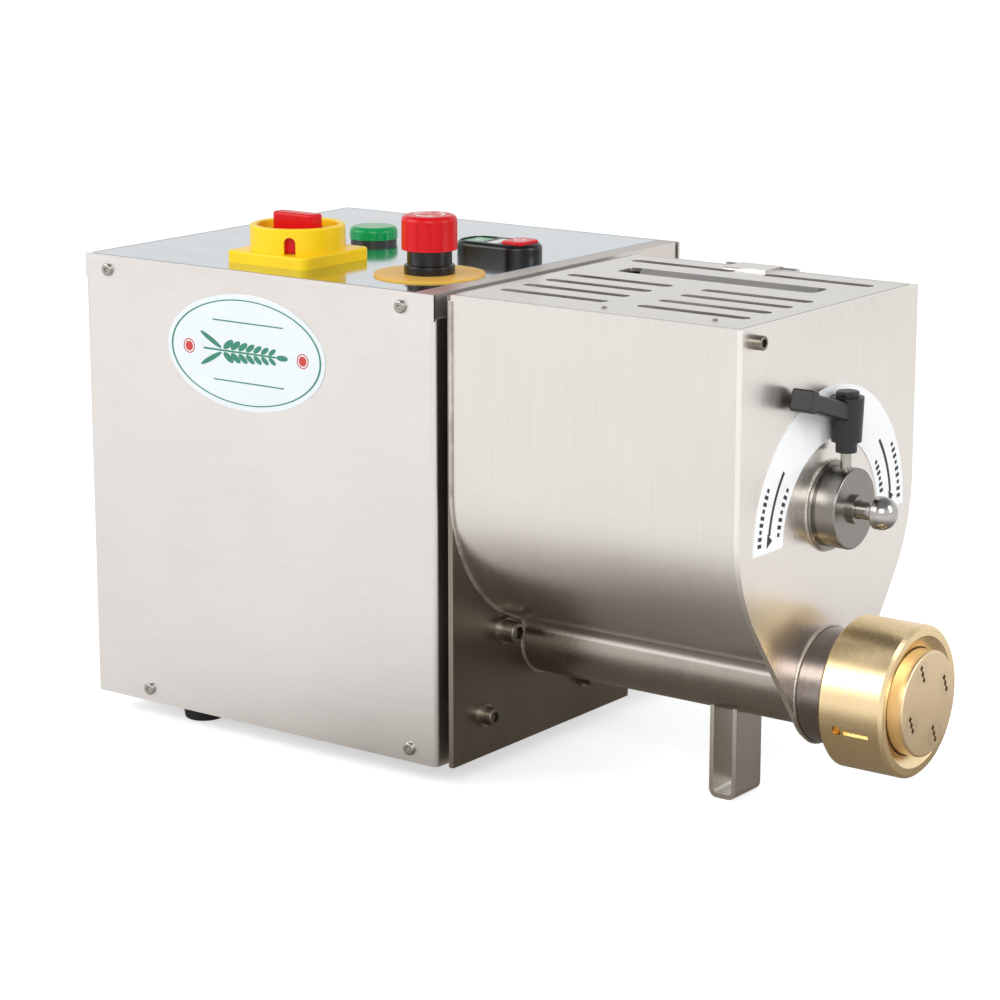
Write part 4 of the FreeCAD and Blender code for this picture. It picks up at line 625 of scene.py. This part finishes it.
def print_piece(sheet, name, plane, height, finish, body):
    """The flat drawing becomes a thin raised layer on its plane."""
    faces = bmesh.ops.extrude_face_region(sheet, geom=sheet.faces[:])["geom"]
    lifted = [v for v in faces if isinstance(v, bmesh.types.BMVert)]
    bmesh.ops.translate(sheet, verts=lifted, vec=(0.0, 0.0, height))
    bmesh.ops.transform(sheet, matrix=plane, verts=sheet.verts)
    bmesh.ops.recalc_face_normals(sheet, faces=sheet.faces)
    add_piece(sheet, name, finish, body)


arrows = bmesh.new()
for start in (0.0, 120.0, 240.0):
    draw_arc(arrows, arrow_radius, arrow_width, start, arrow_sweep, 10)
    tip = math.radians(start + arrow_tip)
    draw_disc(arrows, arrow_radius * math.cos(tip), arrow_radius * math.sin(tip),
              arrow_head, arrow_head, tip + math.radians(90), 3)
print_piece(arrows, "estop_arrows", top_plane("estop_cap"), arrow_height, white_finish,
            "stop_cap")

# Start and stop buttons
# Two flat caps and a milky lens between them in one black frame. The signs for on
# and off, a bar and a ring, stand on the caps in white.

sign_height = 0.0001
on_width = 0.0012
on_length = 0.007
off_radius = 0.0031
off_width = 0.0011

dress(moulded("milk_lens", paint(226, 228, 222), 0.2, contrast=0.02, Transmission_Weight=0.1),
      "twin_lens")


def draw_bar(sheet, x, y, length, width, angle=0.0):
    place = Matrix.Translation((x, y, 0.0)) @ Matrix.Rotation(angle, 4, "Z")
    bmesh.ops.create_grid(sheet, x_segments=1, y_segments=1, size=0.5,
                          matrix=place @ Matrix.Diagonal((length, width, 1.0, 1.0)))


sign = bmesh.new()
draw_bar(sign, 0.0, 0.0, on_width, on_length)
print_piece(sign, "start_sign", top_plane("start_button"), sign_height, white_finish,
            "start_button")
sign = bmesh.new()
draw_arc(sign, off_radius, off_width, 0, 360, 28)
print_piece(sign, "stop_sign", top_plane("stop_button"), sign_height, white_finish,
            "stop_button")

# Direction label
# White vinyl film stuck round the boss, printed in black: two curved arrows for the
# ways the kneader turns, and rows of short bars beside them.

print_height = 0.00008
film_grain = 0.002
film_depth = 3e-6
ink_grain = 0.0006
label_centre = (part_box("direction_label")[1].x, trough_y + 0.0015, kneader_z - 0.013)
way_radius = 0.0613
way_width = 0.0020
way_sweep = 31.0
way_tip = 33.5
head_length = 0.0042
head_width = 0.0032
bar_width = 0.0020
long_bar = 0.0034
short_bar = 0.0022
bar_rows = ((0.0700, 153, 176, 9), (0.0525, 147, 172, 7), (0.0700, 29, 4, 9), (0.0525, 31, 12, 6))

dress(moulded("label_film", paint(250, 251, 253), 0.24, film_grain, film_depth, contrast=0.012,
              Coat_Weight=0.3, Coat_Roughness=0.12), "direction_label")
ink_finish = moulded("black_ink", paint(26, 26, 28), 0.45, ink_grain, film_depth)

ways = bmesh.new()
for start, turn in ((141.0, 1), (39.0, -1)):
    draw_arc(ways, way_radius, way_width, start, turn * way_sweep, 16)
    tip = math.radians(start + turn * way_tip)
    draw_disc(ways, way_radius * math.cos(tip), way_radius * math.sin(tip),
              head_length, head_width, tip + turn * math.radians(90), 3)
for radius, first, last, count in bar_rows:
    for k in range(count):
        angle = math.radians(first + (last - first) * k / (count - 1))
        length = long_bar if k % 3 else short_bar
        draw_bar(ways, radius * math.cos(angle), radius * math.sin(angle), length, bar_width, angle)
print_piece(ways, "direction_print", plane_at(label_centre, (0, 1, 0), (0, 0, 1)), print_height,
            ink_finish, "housing")

# Oval label
# A pale film with a green border line. Its middle has an ear of wheat between two
# round red seals, drawn as a plain generic decoration.

dress(moulded("oval_film", paint(222, 229, 232), 0.22, film_grain, film_depth, contrast=0.015,
              Coat_Weight=0.35, Coat_Roughness=0.1), "oval_label")
green_ink = moulded("green_ink", paint(48, 128, 104), 0.4, ink_grain, film_depth)
red_ink = moulded("red_ink", paint(196, 62, 58), 0.4, ink_grain, film_depth)

oval_low, oval_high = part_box("oval_label")
oval_centre = ((oval_low.x + oval_high.x) / 2, oval_low.y, (oval_low.z + oval_high.z) / 2)
oval_plane = plane_at(oval_centre, (1, 0, 0), (0, 0, 1))
oval_half = (oval_high.x - oval_low.x) / 2
oval_tall = (oval_high.z - oval_low.z) / 2
border_inset = 0.0032
border_share = 0.022

border = bmesh.new()
draw_arc(border, 1.0, border_share, 0, 360, 96)
bmesh.ops.scale(border, verts=border.verts,
                vec=(oval_half - border_inset, oval_tall - border_inset, 1.0))
print_piece(border, "oval_border", oval_plane, print_height, green_ink, "housing")

first_grain = -0.012
grain_pitch = 0.0052
grain_taper = 0.05
grain_out = 0.0036
grain_half = (0.0042, 0.0019)
grain_lean = math.radians(34)
leaf_lean = math.radians(-28)

ear = bmesh.new()
draw_bar(ear, -0.004, 0.0, length=0.052, width=0.0010)
for k in range(7):
    size = 1.0 - grain_taper * k
    for side in (-1, 1):
        draw_disc(ear, first_grain + k * grain_pitch, side * grain_out * size,
                  grain_half[0] * size, grain_half[1] * size, side * grain_lean)
draw_disc(ear, 0.0262, 0.0, half_x=0.0040, half_y=0.0016)
for side in (-1, 1):
    draw_disc(ear, -0.0245, side * 0.0052, half_x=0.0085, half_y=0.0014, angle=side * leaf_lean)
    draw_bar(ear, 0.002, side * 0.0165, length=0.050, width=0.0007)
print_piece(ear, "oval_wheat", oval_plane, print_height, green_ink, "housing")

seal_out = 0.0405
seal_reach = 0.0045
seal_ring = 0.0038
seal_line = 0.0006
seal_heart = 0.0027

seals = bmesh.new()
for side in (-1, 1):
    draw_arc(seals, seal_ring, seal_line, 0, 360, 28)
    draw_disc(seals, 0.0, 0.0, seal_heart, seal_heart)
    fresh = [v for v in seals.verts if abs(v.co.x) < seal_reach]
    bmesh.ops.translate(seals, verts=fresh, vec=(side * seal_out, 0.0, 0.0))
print_piece(seals, "oval_seals", oval_plane, print_height, red_ink, "housing")

# Drive inside the housing
# A painted cast gearbox case with cut steel gears and bearings, a ribbed aluminium motor
# with its capacitor, and the moulded contactor and contact blocks.

sand_depth = 1.6e-4
case_finish, tree, shader = new_finish("case_iron", 0.0, Coat_Weight=0.15, Coat_Roughness=0.3)
here = add_node(tree, "TexCoord").outputs["Object"]
sand = noise(tree, here, scale=420.0, detail=5.0, roughness=0.65)
tone = ramp(tree, sand, (0.3, paint(72, 84, 92)), (0.7, paint(96, 108, 116)))
tree.links.new(tone, shader.inputs["Base Color"])
tree.links.new(maths(tree, "MULTIPLY_ADD", sand, 0.25, 0.38), shader.inputs["Roughness"])
raise_bump(tree, shader, sand, sand_depth)
dress(case_finish, "gearbox_case", "gearbox_cover")
dress(speckled_metal("gear_steel", paint(150, 146, 140), roughness=0.24, size=0.0016),
      "kneader_gear", "auger_gear", "motor_pinion", "shaft_bearings")
dress(speckled_metal("motor_alu", paint(186, 188, 190), 0.42, size=0.003, depth=8e-5),
      "drive_motor")
dress(moulded("capacitor_shell", paint(214, 214, 208), roughness=0.4), "run_capacitor")
dress(moulded("relay_plastic", paint(92, 94, 98), roughness=0.42), "contactor")
dress(moulded("block_plastic", paint(60, 104, 88), roughness=0.42), "contact_blocks")
